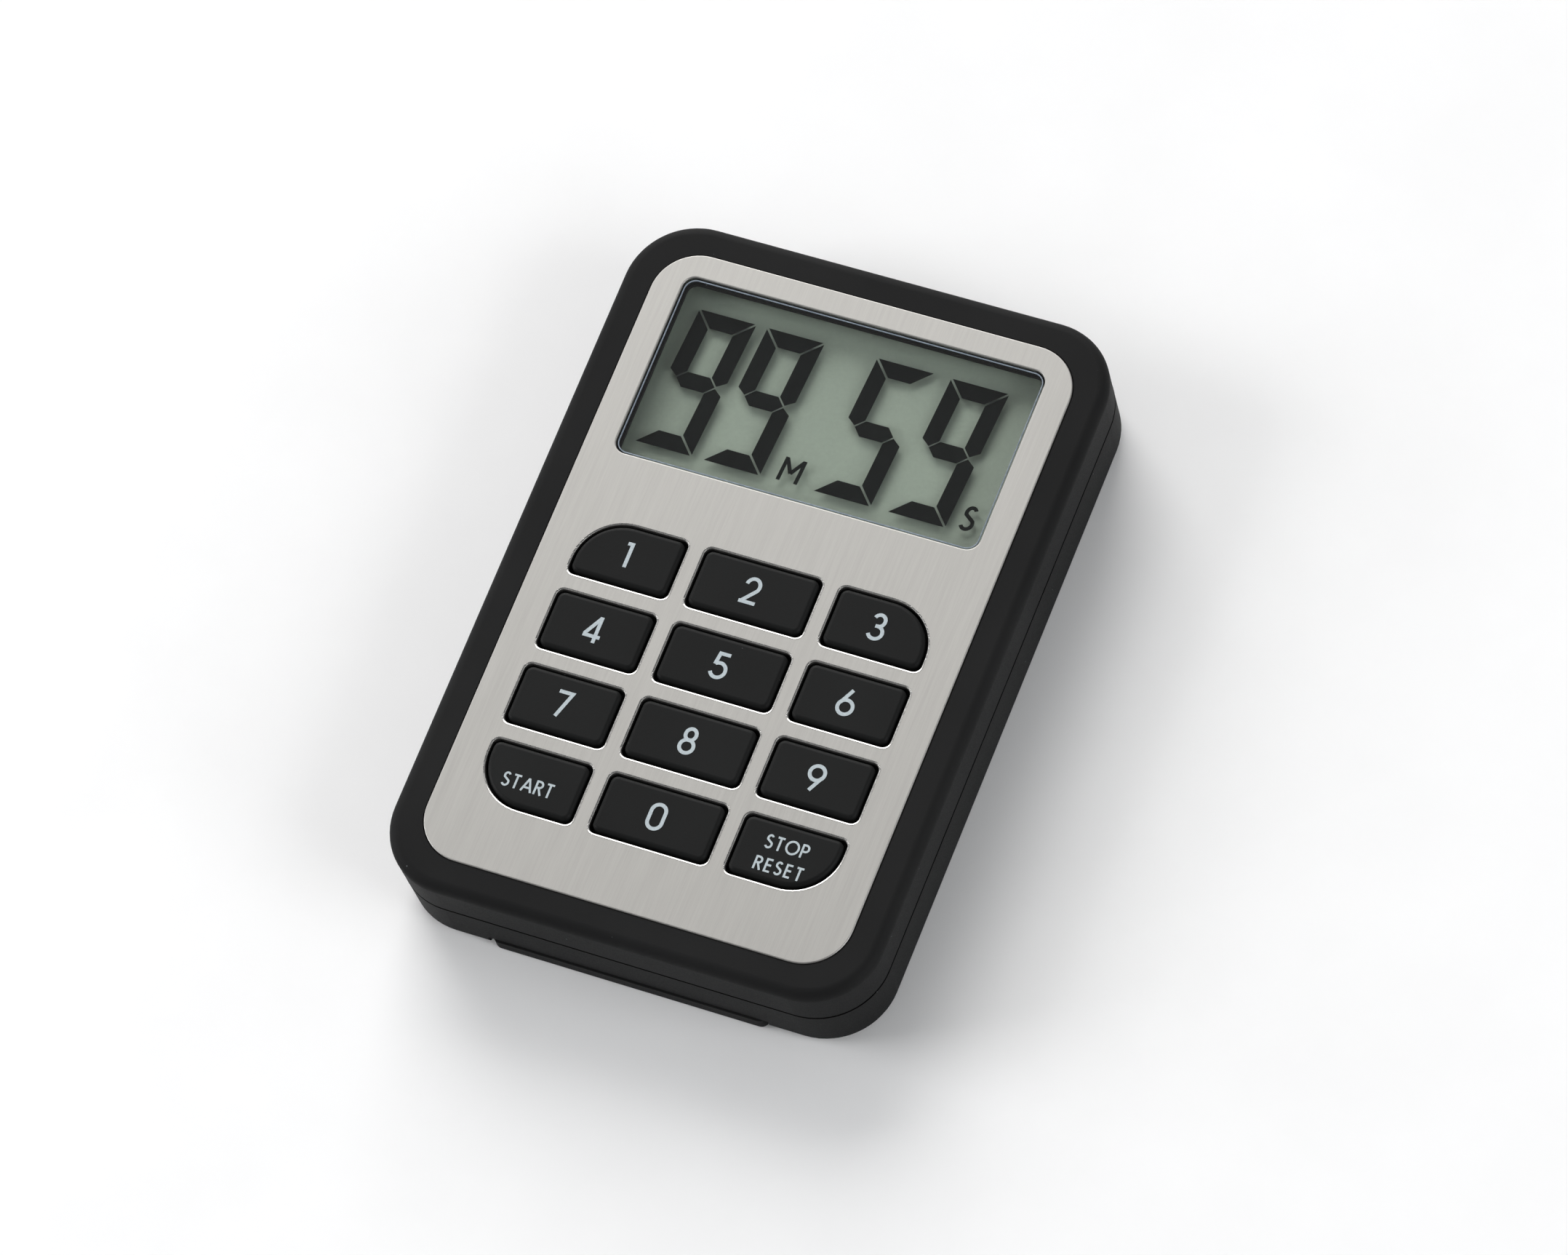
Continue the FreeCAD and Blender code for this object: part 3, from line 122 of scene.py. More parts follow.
def add_tent(name, rim, roof, strength):
    """A world whose colour goes from rim at the horizon to roof overhead, by the Z of the direction."""
    world = bpy.data.worlds.new(name)
    world.use_nodes = True
    tree = world.node_tree
    where = tree.nodes.new("ShaderNodeTexCoord")
    parts = tree.nodes.new("ShaderNodeSeparateXYZ")
    ramp = tree.nodes.new("ShaderNodeValToRGB")
    for stop, position, color in zip(ramp.color_ramp.elements, (RIM_ENDS, ROOF_STARTS), (rim, roof)):
        stop.position, stop.color = position, (*color, 1.0)
    tree.links.new(where.outputs["Generated"], parts.inputs["Vector"])
    tree.links.new(parts.outputs["Z"], ramp.inputs["Fac"])
    tree.links.new(ramp.outputs["Color"], tree.nodes["Background"].inputs["Color"])
    tree.nodes["Background"].inputs["Strength"].default_value = strength
    return world


add_softbox("tent_head", (-1.30, 2.20, 1.50), 2.20, 84.0, (1.0, 0.99, 0.98))
add_softbox("tent_left", (-0.85, -0.25, 0.45), 0.50, 5.0, (0.99, 0.99, 1.0))
add_softbox("tent_right", (0.95, -0.10, 0.50), 0.60, 5.0, (0.98, 0.99, 1.0))
add_softbox("tent_roof", (-0.80, 0.70, 2.10), 1.60, 1.8, (1.0, 0.99, 0.98))
bpy.context.scene.world = add_tent("tent", (0.62, 0.625, 0.635), (0.22, 0.225, 0.23), 0.75)
bpy.context.scene.view_settings.view_transform = "Standard"
bpy.context.scene.cycles.transparent_max_bounces = 32

# %% [markdown]
# ## Putting computed shapes into Blender
#
# Every new piece is worked out as arrays of points and faces. One helper turns the arrays into a
# mesh, gives it its finish and lets it ride on a body of the CAD model, so that a legend goes down
# with its key.

# %% The one way a piece is made
def add_piece(name, points, faces, material, body=None, slot=None):
    """Points are in millimetres in the CAD frame; faces are rows of point numbers."""
    mesh = bpy.data.meshes.new(name)
    mesh.from_pydata((np.asarray(points, float) * MM).tolist(), [], [list(face) for face in faces])
    mesh.validate()
    mesh.update()
    piece = bpy.data.objects.new(name, mesh)
    bpy.context.scene.collection.objects.link(piece)
    mesh.materials.append(material)
    if body is not None:
        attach(piece, body)
    return piece


def joined(parts):
    """Several (points, faces) pairs as one: each one's face numbers move up by the points before it."""
    points, faces, count = [], [], 0
    for part_points, part_faces in parts:
        points.append(part_points)
        faces += [tuple(int(i) + count for i in face) for face in part_faces]
        count += len(part_points)
    return np.vstack(points), faces


def face_counts(piece):
    print(piece.name, len(piece.data.vertices), "points", len(piece.data.polygons), "faces")


# %% [markdown]
# ## Building blocks for finishes
#
# Most finishes here are one idea: an even base, broken up by a fine pattern that changes the colour,
# the roughness and the height a little. The pattern reads Object coordinates, so it stays on the
# piece when it moves. These helpers each add one such step to a material.

# %% Helpers for materials
def new_finish(name, rough=0.5, metal=0.0, specular=0.5):
    """A material with one Principled shader; what is even all over is set on its own sockets."""
    material = bpy.data.materials.new(name)
    material.use_nodes = True
    shader = material.node_tree.nodes["Principled BSDF"]
    shader.inputs["Roughness"].default_value = rough
    shader.inputs["Metallic"].default_value = metal
    shader.inputs["Specular IOR Level"].default_value = specular
    return material, material.node_tree, shader


def pattern_space(tree, stretch=(1.0, 1.0, 1.0)):
    """Object coordinates through a Mapping node, which stretches them."""
    place = tree.nodes.new("ShaderNodeTexCoord")
    mapping = tree.nodes.new("ShaderNodeMapping")
    mapping.inputs["Scale"].default_value = stretch
    tree.links.new(place.outputs["Object"], mapping.inputs["Vector"])
    return mapping.outputs["Vector"]


def noise(tree, space, per_metre, detail=3.0, rough=0.55):
    node = tree.nodes.new("ShaderNodeTexNoise")
    node.inputs["Scale"].default_value = per_metre
    node.inputs["Detail"].default_value = detail
    node.inputs["Roughness"].default_value = rough
    tree.links.new(space, node.inputs["Vector"])
    return node.outputs["Fac"]


NOISE_LOW, NOISE_HIGH = 0.35, 0.65


def spread(tree, value, low, high):
    """The middle range of a noise becomes low..high, and stays there beyond it."""
    node = tree.nodes.new("ShaderNodeMapRange")
    node.inputs["From Min"].default_value = NOISE_LOW
    node.inputs["From Max"].default_value = NOISE_HIGH
    node.inputs["To Min"].default_value = low
    node.inputs["To Max"].default_value = high
    tree.links.new(value, node.inputs["Value"])
    return node.outputs["Result"]


def two_tone(tree, value, dark, light, start=NOISE_LOW, stop=NOISE_HIGH):
    """A colour that goes from dark to light as the value goes from start to stop."""
    ramp = tree.nodes.new("ShaderNodeValToRGB")
    for end, position, color in zip(ramp.color_ramp.elements, (start, stop), (dark, light)):
        end.position, end.color = position, (*color, 1.0)
    tree.links.new(value, ramp.inputs["Fac"])
    return ramp.outputs["Color"]


def height(tree, shader, value, depth_mm, strength=1.0):
    """Bumps of the given depth from a pattern."""
    node = tree.nodes.new("ShaderNodeBump")
    node.inputs["Strength"].default_value = strength
    node.inputs["Distance"].default_value = depth_mm * MM
    tree.links.new(value, node.inputs["Height"])
    tree.links.new(node.outputs["Normal"], shader.inputs["Normal"])


def mixed(tree, amount, base, top):
    """Colour base where amount is 0, top where it is 1; top is a plain colour."""
    node = tree.nodes.new("ShaderNodeMix")
    node.data_type = "RGBA"
    tree.links.new(amount, node.inputs["Factor"])
    tree.links.new(base, node.inputs["A"])
    node.inputs["B"].default_value = (*top, 1.0)
    return node.outputs["Result"]


def combine(tree, operation, first, second):
    """A Math node; each operand is a number or another node's output."""
    node = tree.nodes.new("ShaderNodeMath")
    node.operation = operation
    for socket, operand in zip(node.inputs, (first, second)):
        if isinstance(operand, float):
            socket.default_value = operand
        else:
            tree.links.new(operand, socket)
    return node.outputs[0]


def specks(tree, per_metre, share, rarity):
    """Dots: 1 near the middle of some Voronoi cells and 0 elsewhere; share is the dot's part of a cell."""
    cells = tree.nodes.new("ShaderNodeTexVoronoi")
    cells.inputs["Scale"].default_value = per_metre
    tree.links.new(pattern_space(tree), cells.inputs["Vector"])
    tone = tree.nodes.new("ShaderNodeSeparateColor")
    tree.links.new(cells.outputs["Color"], tone.inputs["Color"])
    near = combine(tree, "LESS_THAN", cells.outputs["Distance"], share)
    chosen = combine(tree, "LESS_THAN", tone.outputs["Red"], rarity)
    return combine(tree, "MULTIPLY", near, chosen)


def plain_finish(name, dark, light, rough, per_metre, metal=0.0, specular=0.5, depth_mm=0.0,
                 stretch=(1.0, 1.0, 1.0)):
    """Two close tones, a roughness that varies by a tenth and, if asked, a shallow relief.

    All three follow one pattern.
    """
    material, tree, shader = new_finish(name, rough, metal, specular)
    value = noise(tree, pattern_space(tree, stretch), per_metre)
    tree.links.new(two_tone(tree, value, dark, light), shader.inputs["Base Color"])
    tree.links.new(spread(tree, value, rough - 0.05, rough + 0.05), shader.inputs["Roughness"])
    if depth_mm:
        height(tree, shader, value, depth_mm)
    return material


# %% [markdown]
# ## Soft-touch black
#
# The two housings, the stand and the battery door are moulded plastic with a soft-touch coat: almost
# black, with a dull silky sheen and no sharp reflection. A real one is never quite clean, so a few
# specks of dust lie on it. The relief is a very fine noise, finer than the eye separates, because
# that is what makes the highlight broad and velvety.

# %% Case and key finishes
def soft_black(name, dark, light, rough, specular, dust):
    """Black with a fine grain, a slow change of tone over centimetres and sparse dust."""
    material, tree, shader = new_finish(name, rough, 0.0, specular)
    space = pattern_space(tree)
    grain = noise(tree, space, 7000.0, 4.0)
    slow = noise(tree, space, 55.0, 2.0)
    base = two_tone(tree, slow, dark, light, 0.3, 0.7)
    fine = mixed(tree, specks(tree, 330.0, 0.026, dust), base, (0.16, 0.17, 0.18))
    more = mixed(tree, specks(tree, 700.0, 0.034, dust * 0.5), fine, (0.08, 0.085, 0.09))
    tree.links.new(more, shader.inputs["Base Color"])
    tree.links.new(spread(tree, grain, rough - 0.06, rough + 0.06), shader.inputs["Roughness"])
    height(tree, shader, grain, 0.012, 0.6)
    shader.inputs["Sheen Weight"].default_value = 0.01
    shader.inputs["Sheen Roughness"].default_value = 0.4
    return material


case_black = soft_black("soft_touch_black", (0.0105, 0.0106, 0.0108), (0.0140, 0.0141, 0.0143),
                        0.6, 0.07, 0.35)
key_black = soft_black("key_black", (0.0060, 0.0063, 0.0063), (0.0085, 0.0089, 0.0089),
                       0.55, 0.12, 0.3)

# %% [markdown]
# ## Brushed steel
#
# The face plate is rolled steel, brushed along its length. The brushing is thousands of scratches,
# each hardly wider than a hair and many millimetres long. A noise that is squeezed across and
# stretched along gives them: two layers, one fine and one broader, for tone, roughness and relief.
# Anisotropic shading is another way, but it needs a direction over the whole mesh, and the stretched
# relief already spreads the light across the scratches.

# %% Steel of the face plate
def brushed_steel(name, dark, light, rough):
    """Noise stretched along Y in two layers; the fine one is the relief."""
    material, tree, shader = new_finish(name, rough, 1.0)
    fine = noise(tree, pattern_space(tree, (1.0, 0.02, 1.0)), 9000.0, 3.0, 0.6)
    broad = noise(tree, pattern_space(tree, (1.0, 0.03, 1.0)), 2600.0, 3.0, 0.5)
    both = combine(tree, "MULTIPLY", combine(tree, "ADD", fine, broad), 0.5)
    tree.links.new(two_tone(tree, both, dark, light, 0.36, 0.64), shader.inputs["Base Color"])
    tree.links.new(spread(tree, broad, rough - 0.015, rough + 0.02), shader.inputs["Roughness"])
    height(tree, shader, fine, 0.0012, 0.5)
    return material


plate_steel = brushed_steel("brushed_plate_steel", (0.385, 0.378, 0.361), (0.422, 0.414, 0.396), 0.49)

# %% [markdown]
# ## Clear layers
#
# Over the display lie the lens, a polariser film and two sheets of glass. A true glass shader bends
# the light, and then little of it finds the way back out of a thin stack. Each clear sheet is instead
# see-through with a mirror laid over it, and Fresnel says how strong the mirror is: weak when looked
# at squarely, strong along the surface. Only outer faces mirror, so a sheet doesn't shine twice.

# %% Lens, film and glass
def clear_sheet(name, tint, index, gloss_rough, cloud_mm):
    """Transparent and Glossy, mixed by Fresnel on faces seen from outside; a faint relief makes it real."""
    material = bpy.data.materials.new(name)
    material.use_nodes = True
    tree = material.node_tree
    tree.nodes.remove(tree.nodes["Principled BSDF"])
    through = tree.nodes.new("ShaderNodeBsdfTransparent")
    through.inputs["Color"].default_value = (*tint, 1.0)
    mirror = tree.nodes.new("ShaderNodeBsdfGlossy")
    mirror.inputs["Roughness"].default_value = gloss_rough
    fresnel = tree.nodes.new("ShaderNodeFresnel")
    fresnel.inputs["IOR"].default_value = index
    side = tree.nodes.new("ShaderNodeNewGeometry")
    outside = combine(tree, "SUBTRACT", 1.0, side.outputs["Backfacing"])
    amount = combine(tree, "MULTIPLY", fresnel.outputs["Fac"], outside)
    height(tree, mirror, noise(tree, pattern_space(tree), 260.0, 2.0), cloud_mm, 0.4)
    mix = tree.nodes.new("ShaderNodeMixShader")
    tree.links.new(amount, mix.inputs[0])
    tree.links.new(through.outputs[0], mix.inputs[1])
    tree.links.new(mirror.outputs[0], mix.inputs[2])
    tree.links.new(mix.outputs[0], tree.nodes["Material Output"].inputs["Surface"])
    return material


lens_clear = clear_sheet("lens_acrylic", (0.994, 0.996, 0.996), 1.45, 0.03, 0.002)
display_glass = clear_sheet("display_glass", (0.993, 0.996, 0.994), 1.15, 0.05, 0.001)
polariser = clear_sheet("polariser_film", (0.955, 0.965, 0.955), 1.15, 0.12, 0.002)

# %% [markdown]
# ## Everything inside
#
# The inside is seen only when the timer is opened, but each material still has its own grain: fibres
# in the glue sheet, the stripes of conducting and insulating rubber in the connector, copper tracks
# that show through the green lacquer of the board, turned marks on the steel cell.

# %% Rubber, film and board
reflector = plain_finish("display_reflector", (0.342, 0.383, 0.329), (0.367, 0.41, 0.354),
                         0.6, 2400.0, specular=0.3)
glue_paper = plain_finish("glue_paper", (0.76, 0.75, 0.70), (0.86, 0.85, 0.81),
                          0.7, 1800.0, depth_mm=0.01, stretch=(1.0, 0.3, 1.0))
silicone = plain_finish("grey_silicone", (0.31, 0.32, 0.33), (0.37, 0.38, 0.39),
                        0.55, 900.0, depth_mm=0.01)
carbon = plain_finish("carbon_pill", (0.014, 0.014, 0.014), (0.03, 0.03, 0.03),
                      0.75, 3500.0, depth_mm=0.01)
white_frame = plain_finish("white_frame", (0.74, 0.74, 0.72), (0.82, 0.82, 0.80),
                           0.45, 1200.0, depth_mm=0.006)
epoxy = plain_finish("black_epoxy", (0.010, 0.010, 0.010), (0.020, 0.019, 0.018),
                     0.25, 500.0, depth_mm=0.02)
ceramic = plain_finish("chip_ceramic", (0.21, 0.165, 0.12), (0.29, 0.235, 0.19),
                       0.4, 3000.0, depth_mm=0.01)
silvered = plain_finish("silvered_ceramic", (0.66, 0.65, 0.61), (0.79, 0.78, 0.74),
                        0.38, 1500.0, metal=0.6, depth_mm=0.006)
ferrite = plain_finish("ferrite_magnet", (0.040, 0.040, 0.043), (0.065, 0.065, 0.067),
                       0.62, 2600.0, depth_mm=0.02)
red_wire = plain_finish("red_insulation", (0.46, 0.012, 0.012), (0.58, 0.022, 0.020), 0.38, 1500.0)
black_wire = plain_finish("black_insulation", (0.010, 0.010, 0.010), (0.020, 0.020, 0.020), 0.38, 1500.0)
print("materials so far", len(bpy.data.materials))


# %% Metals inside
def turned_metal(name, dark, light, rough, per_metre):
    """Rings of a Wave texture round the pattern's Z axis, as a lathe leaves them, over a fine noise."""
    material, tree, shader = new_finish(name, rough, 1.0)
    space = pattern_space(tree)
    wave = tree.nodes.new("ShaderNodeTexWave")
    wave.wave_type, wave.rings_direction = "RINGS", "Z"
    wave.inputs["Scale"].default_value = per_metre
    wave.inputs["Distortion"].default_value = 1.5
    tree.links.new(space, wave.inputs["Vector"])
    tree.links.new(two_tone(tree, wave.outputs["Fac"], dark, light, 0.1, 0.9), shader.inputs["Base Color"])
    uneven = spread(tree, noise(tree, space, 2500.0), rough - 0.06, rough + 0.06)
    tree.links.new(uneven, shader.inputs["Roughness"])
    return material


cell_steel = turned_metal("cell_steel", (0.58, 0.58, 0.57), (0.66, 0.66, 0.65), 0.32, 900.0)
brass = turned_metal("buzzer_brass", (0.66, 0.49, 0.22), (0.75, 0.58, 0.30), 0.33, 700.0)
screw_zinc = turned_metal("screw_zinc", (0.33, 0.33, 0.34), (0.46, 0.46, 0.47), 0.34, 2500.0)
spring_nickel = plain_finish("contact_nickel", (0.60, 0.59, 0.54), (0.70, 0.69, 0.65),
                             0.28, 2500.0, metal=1.0, stretch=(1.0, 0.1, 1.0))
can_metal = plain_finish("crystal_can", (0.62, 0.62, 0.62), (0.72, 0.72, 0.72), 0.2, 2500.0, metal=1.0)


def striped(name, one, other, per_metre, rough, metal=0.0):
    """Straight bands across X from a Wave texture: conducting and plain rubber, or turns of wire."""
    material, tree, shader = new_finish(name, rough, metal)
    wave = tree.nodes.new("ShaderNodeTexWave")
    wave.bands_direction = "X"
    wave.inputs["Scale"].default_value = per_metre
    tree.links.new(pattern_space(tree), wave.inputs["Vector"])
    tree.links.new(two_tone(tree, wave.outputs["Fac"], one, other, 0.4, 0.6), shader.inputs["Base Color"])
    height(tree, shader, wave.outputs["Fac"], 0.02, 0.5)
    return material


zebra = striped("zebra_rubber", (0.03, 0.03, 0.03), (0.74, 0.44, 0.48), 650.0, 0.6)
winding = striped("copper_winding", (0.34, 0.14, 0.05), (0.58, 0.29, 0.12), 1300.0, 0.3, 0.8)


def board_green(name):
    """Green lacquer over copper: bricks of a Brick texture are the copper fields, mortar the gaps."""
    material, tree, shader = new_finish(name, 0.3)
    bricks = tree.nodes.new("ShaderNodeTexBrick")
    bricks.inputs["Scale"].default_value = 160.0
    bricks.inputs["Mortar Size"].default_value = 0.045
    bricks.inputs["Color1"].default_value = (0.022, 0.150, 0.060, 1.0)
    bricks.inputs["Color2"].default_value = (0.026, 0.165, 0.068, 1.0)
    bricks.inputs["Mortar"].default_value = (0.012, 0.085, 0.036, 1.0)
    tree.links.new(pattern_space(tree), bricks.inputs["Vector"])
    tree.links.new(bricks.outputs["Color"], shader.inputs["Base Color"])
    height(tree, shader, bricks.outputs["Fac"], -0.03, 0.4)
    return material


green_board = board_green("green_laminate")

# %% Give every CAD node its finish
FINISH_OF = {
    "front_housing": case_black, "rear_housing": case_black,
    "stand": case_black, "battery_door": case_black,
    "face_plate": plate_steel, "plate_adhesive": glue_paper, "window_lens": lens_clear,
    "lcd_front_polariser": polariser, "lcd_front_glass": display_glass, "lcd_rear_glass": display_glass,
    "lcd_reflector": reflector, "lcd_holder": white_frame, "zebra_connector": zebra,
    "keypad_mat": silicone, "contact_pills": carbon, "circuit_board": green_board, "chip_blob": epoxy,
    "quartz_crystal": can_metal, "buzzer_coil": winding, "small_components": ceramic,
    "board_screws": screw_zinc, "case_screws": screw_zinc, "coin_cell": cell_steel,
    "contact_minus": spring_nickel, "contact_plus": spring_nickel, "buzzer_plate": brass,
    "buzzer_ceramic": silvered, "buzzer_wire_red": red_wire, "buzzer_wire_black": black_wire,
    "magnets": ferrite,
}
for name, node in nodes.items():
    material = key_black if name.startswith("key_") else FINISH_OF[name]
    if node.material_slots:
        for each in node.material_slots:
            each.material = material
    else:
        node.data.materials.append(material)
print("finishes given to", len(nodes), "nodes")

# %% [markdown]
# ## Legends on the keys
#
# The numbers and words are printed on the keys in pale grey, in an even-stroked geometric letter.
# Blender's Text object could set them in a font, but a printed stroke of one width is simple enough
# to draw: each letter is a few centre lines, made of straight runs and parts of ellipses, and a pen of
# constant width is carried along them. The pen's track is a flat closed solid a few hundredths of a
# millimetre thick, which is about what a pad print measures.

# %% Centre lines
def line(*corners):
    """A straight run through the given points."""
    return np.array(corners, float)


def arc(middle, across, up, start, stop, count=28):
    """Points on an ellipse: middle + (across cos a, up sin a), with a from start to stop in degrees."""
    angle = np.radians(np.linspace(start, stop, count))
    return np.column_stack([middle[0] + across * np.cos(angle), middle[1] + up * np.sin(angle)])


def track(centre, width, low, high, closed=False, tilt=0.0):
    """A pen of the given width carried along a centre line, as a closed solid between two heights.

    With a tilt its right edge stands that much higher than its left one.
    At each point the sideways direction is the mean of the two runs' normals, made longer by one over
    the cosine of half the turn, so that both edges stay parallel to the line.
    """
    run = np.diff(np.vstack([centre, centre[:1]]) if closed else centre, axis=0)
    run /= np.linalg.norm(run, axis=1)[:, None]
    normal = np.column_stack([-run[:, 1], run[:, 0]])
    before = np.roll(normal, 1, axis=0) if closed else np.vstack([normal[:1], normal])
    after = normal if closed else np.vstack([normal, normal[-1:]])
    side = before + after
    side *= (2.0 / np.maximum((side ** 2).sum(axis=1), 0.8))[:, None]
    left, right = centre + side * width / 2, centre - side * width / 2
    count = len(centre)
    flat = lambda edge, level: np.column_stack([edge, np.full(count, level)])
    points = np.vstack([flat(left, low), flat(right, low), flat(right, high + tilt), flat(left, high)])
    here = np.arange(count if closed else count - 1)
    there = (here + 1) % count
    faces = []
    for one, two in ((1, 0), (2, 1), (3, 2), (0, 3)):
        one, two = one * count, two * count
        faces.append(np.column_stack([here + one, here + two, there + two, there + one]))
    faces = [tuple(face) for face in np.vstack(faces)]
    if not closed:
        last = count - 1
        faces.append((0, count, 2 * count, 3 * count))
        faces.append((last, 3 * count + last, 2 * count + last, count + last))
    return points, faces


def ring(*runs):
    """Runs joined to one closed centre line, without points that repeat."""
    points = np.vstack(runs)
    gap = np.linalg.norm(points - np.roll(points, 1, axis=0), axis=1)
    return points[gap > 1e-6]


# %% [markdown]
# The letters are drawn in a box one unit tall. Each entry is its width and its centre lines; a line
# that closes on itself is marked so that the pen joins up. Round letters stand a little over the
# line, as type does, so that they look as tall as the straight ones.

# %% Letters
OPEN, CLOSED = False, True


def pen(*runs):
    """One stroke of the pen along the given runs, which follow on from each other."""
    return np.vstack(runs), OPEN


def round_(middle, across, up, count=41):
    """A stroke all the way round an ellipse; its last point would repeat the first, so it is left out."""
    return arc(middle, across, up, 0, 360, count)[:-1], CLOSED


upright = pen(line((0.0, -0.07), (0.0, 1.07)))
bowl, _ = round_((0.29, 0.29), 0.30, 0.30)
oval = ring(arc((0.29, 0.72), 0.29, 0.29, 0, 180), arc((0.29, 0.28), 0.29, 0.29, 180, 360))
LETTERS = {
    "0": (0.58, [(oval, CLOSED)]),
    "1": (0.20, [pen(line((0.0, 0.985), (0.20, 0.985), (0.20, -0.01)))]),
    "2": (0.60, [pen(arc((0.29, 0.71), 0.27, 0.30, 172, -38), line((0.03, 0.0))),
                 pen(line((-0.06, 0.0), (0.62, 0.0)))]),
    "3": (0.55, [pen(arc((0.24, 0.765), 0.225, 0.245, 158, -88)),
                 pen(arc((0.24, 0.26), 0.28, 0.27, 92, -158)),
                 pen(line((0.15, 0.525), (0.26, 0.525)))]),
    "4": (0.66, [pen(line((0.46, -0.07), (0.46, 1.06))),
                 pen(line((0.445, 1.0), (0.0, 0.235))),
                 pen(line((-0.05, 0.2), (0.66, 0.2)))]),
    "5": (0.60, [pen(line((0.56, 0.995), (0.14, 0.995), (0.075, 0.52))),
                 pen(arc((0.28, 0.30), 0.30, 0.31, 128, -158))]),
    "6": (0.60, [(bowl, CLOSED), pen(line((0.05, 0.44), (0.37, 1.04)))]),
    "7": (0.56, [pen(line((-0.03, 0.99), (0.53, 0.99), (0.17, -0.05)))]),
    "8": (0.56, [round_((0.28, 0.77), 0.215, 0.24), round_((0.28, 0.265), 0.28, 0.275)]),
    "9": (0.60, [(bowl * (1, -1) + (0, 1.0), CLOSED), pen(line((0.53, 0.56), (0.21, -0.04)))]),
    "S": (0.50, [pen(arc((0.25, 0.76), 0.20, 0.245, 32, 205, 20),
                     arc((0.25, 0.255), 0.24, 0.26, 35, -152, 20))]),
    "T": (0.56, [pen(line((0.0, 1.0), (0.56, 1.0))), pen(line((0.28, 1.0), (0.28, -0.07)))]),
    "A": (0.78, [pen(line((0.0, -0.07), (0.39, 1.02))),
                 pen(line((0.39, 1.02), (0.78, -0.07))),
                 pen(line((0.13, 0.27), (0.65, 0.27)))]),
    "R": (0.52, [upright,
                 pen(line((0.0, 1.0)), arc((0.22, 0.755), 0.25, 0.245, 90, -90, 18), line((0.0, 0.51))),
                 pen(line((0.22, 0.5), (0.52, -0.07)))]),
    "P": (0.48, [upright,
                 pen(line((0.0, 1.0)), arc((0.22, 0.73), 0.26, 0.27, 90, -90, 18), line((0.0, 0.46)))]),
    "E": (0.42, [pen(line((0.44, 1.0), (0.0, 1.0), (0.0, 0.0), (0.44, 0.0))),
                 pen(line((0.0, 0.53), (0.42, 0.53)))]),
    "O": (0.96, [round_((0.48, 0.5), 0.48, 0.51, 45)]),
    "N": (0.62, [upright,
                 pen(line((0.62, -0.07), (0.62, 1.07))),
                 pen(line((0.0, 1.0), (0.62, 0.0)))]),
    "C": (0.80, [pen(arc((0.48, 0.5), 0.46, 0.51, 48, 312, 36))]),
    "K": (0.56, [upright,
                 pen(line((0.52, 1.03), (0.03, 0.48))),
                 pen(line((0.15, 0.6), (0.56, -0.05)))]),
    "L": (0.44, [pen(line((0.0, 1.07), (0.0, 0.0), (0.46, 0.0)))]),
    "M": (0.80, [pen(line((0.0, -0.07), (0.0, 1.05))),
                 pen(line((0.80, -0.07), (0.80, 1.05))),
                 pen(line((0.02, 1.0), (0.40, 0.34))),
                 pen(line((0.78, 1.0), (0.40, 0.34)))]),
}
print("letters drawn", len(LETTERS))


# %% Set a word
def word_lines(word, tall, wide_pen, gap):
    """The centre lines of a word, its middle at the origin.

    Each letter is scaled by the word's height less the pen's width, then moved right of the last one.
    """
    scale, at, runs = tall - wide_pen, 0.0, []
    for letter in word:
        width, strokes = LETTERS[letter]
        runs += [(stroke * scale + (at, 0.0), closed) for stroke, closed in strokes]
        at += width * scale + wide_pen + gap
    wide = at - gap - wide_pen
    return [(points - (wide / 2, scale / 2), closed) for points, closed in runs]


LAYER = 0.0004


def printed(runs, wide_pen, low, high, thicker=LAYER):
    """Every centre line as a track; each is a hair thicker, so crossing strokes never share a plane."""
    return joined([track(points, wide_pen, low, high + thicker * number, closed)
                   for number, (points, closed) in enumerate(runs)])


ink = plain_finish("legend_ink", (0.40, 0.455, 0.48), (0.47, 0.53, 0.555),
                   0.55, 4200.0, specular=0.3, depth_mm=0.006)
PRINT_THICK, PRINT_SUNK = 0.03, 0.01


def print_on_key(key, *words):
    """Prints words on a key's top; each is (text, height, pen, gap, dx, dy) about the key's middle."""
    low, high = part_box(key)
    x, y, top = (low.x + high.x) / 2 / MM, (low.y + high.y) / 2 / MM, high.z / MM
    parts = []
    for text, tall, wide_pen, gap, dx, dy in words:
        runs = [(points + (x + dx, y + dy), closed)
                for points, closed in word_lines(text, tall, wide_pen, gap)]
        parts.append(printed(runs, wide_pen, top - PRINT_SUNK, top + PRINT_THICK))
    return add_piece("legend_" + key[4:], *joined(parts), ink, key, "key_plastic")


for digit in "1234567890":
    face_counts(print_on_key("key_" + digit, (digit, 3.50, 0.45, 0.0, -0.18, 0.03)))
face_counts(print_on_key("key_start", ("START", 1.84, 0.25, 0.17, -0.20, -0.72)))
face_counts(print_on_key("key_stop_reset",
                         ("STOP", 1.79, 0.25, 0.20, -0.20, 1.08),
                         ("RESET", 1.75, 0.25, 0.31, -0.15, -1.80)))

# %% [markdown]
# ## Figures on the display
#
# A liquid-crystal figure is seven bars with mitred ends that lean a few degrees. The dark layer lies
# between the two sheets of glass, above a satin reflector, so each bar throws a soft shadow on it.
# Here each bar is a real sheet in that gap, and the shadow comes by itself. The bars are worked out
# from the figure's width, height and bar thickness: every bar has two mitred ends at 45 degrees,
# drawn back by half the gap between bars.

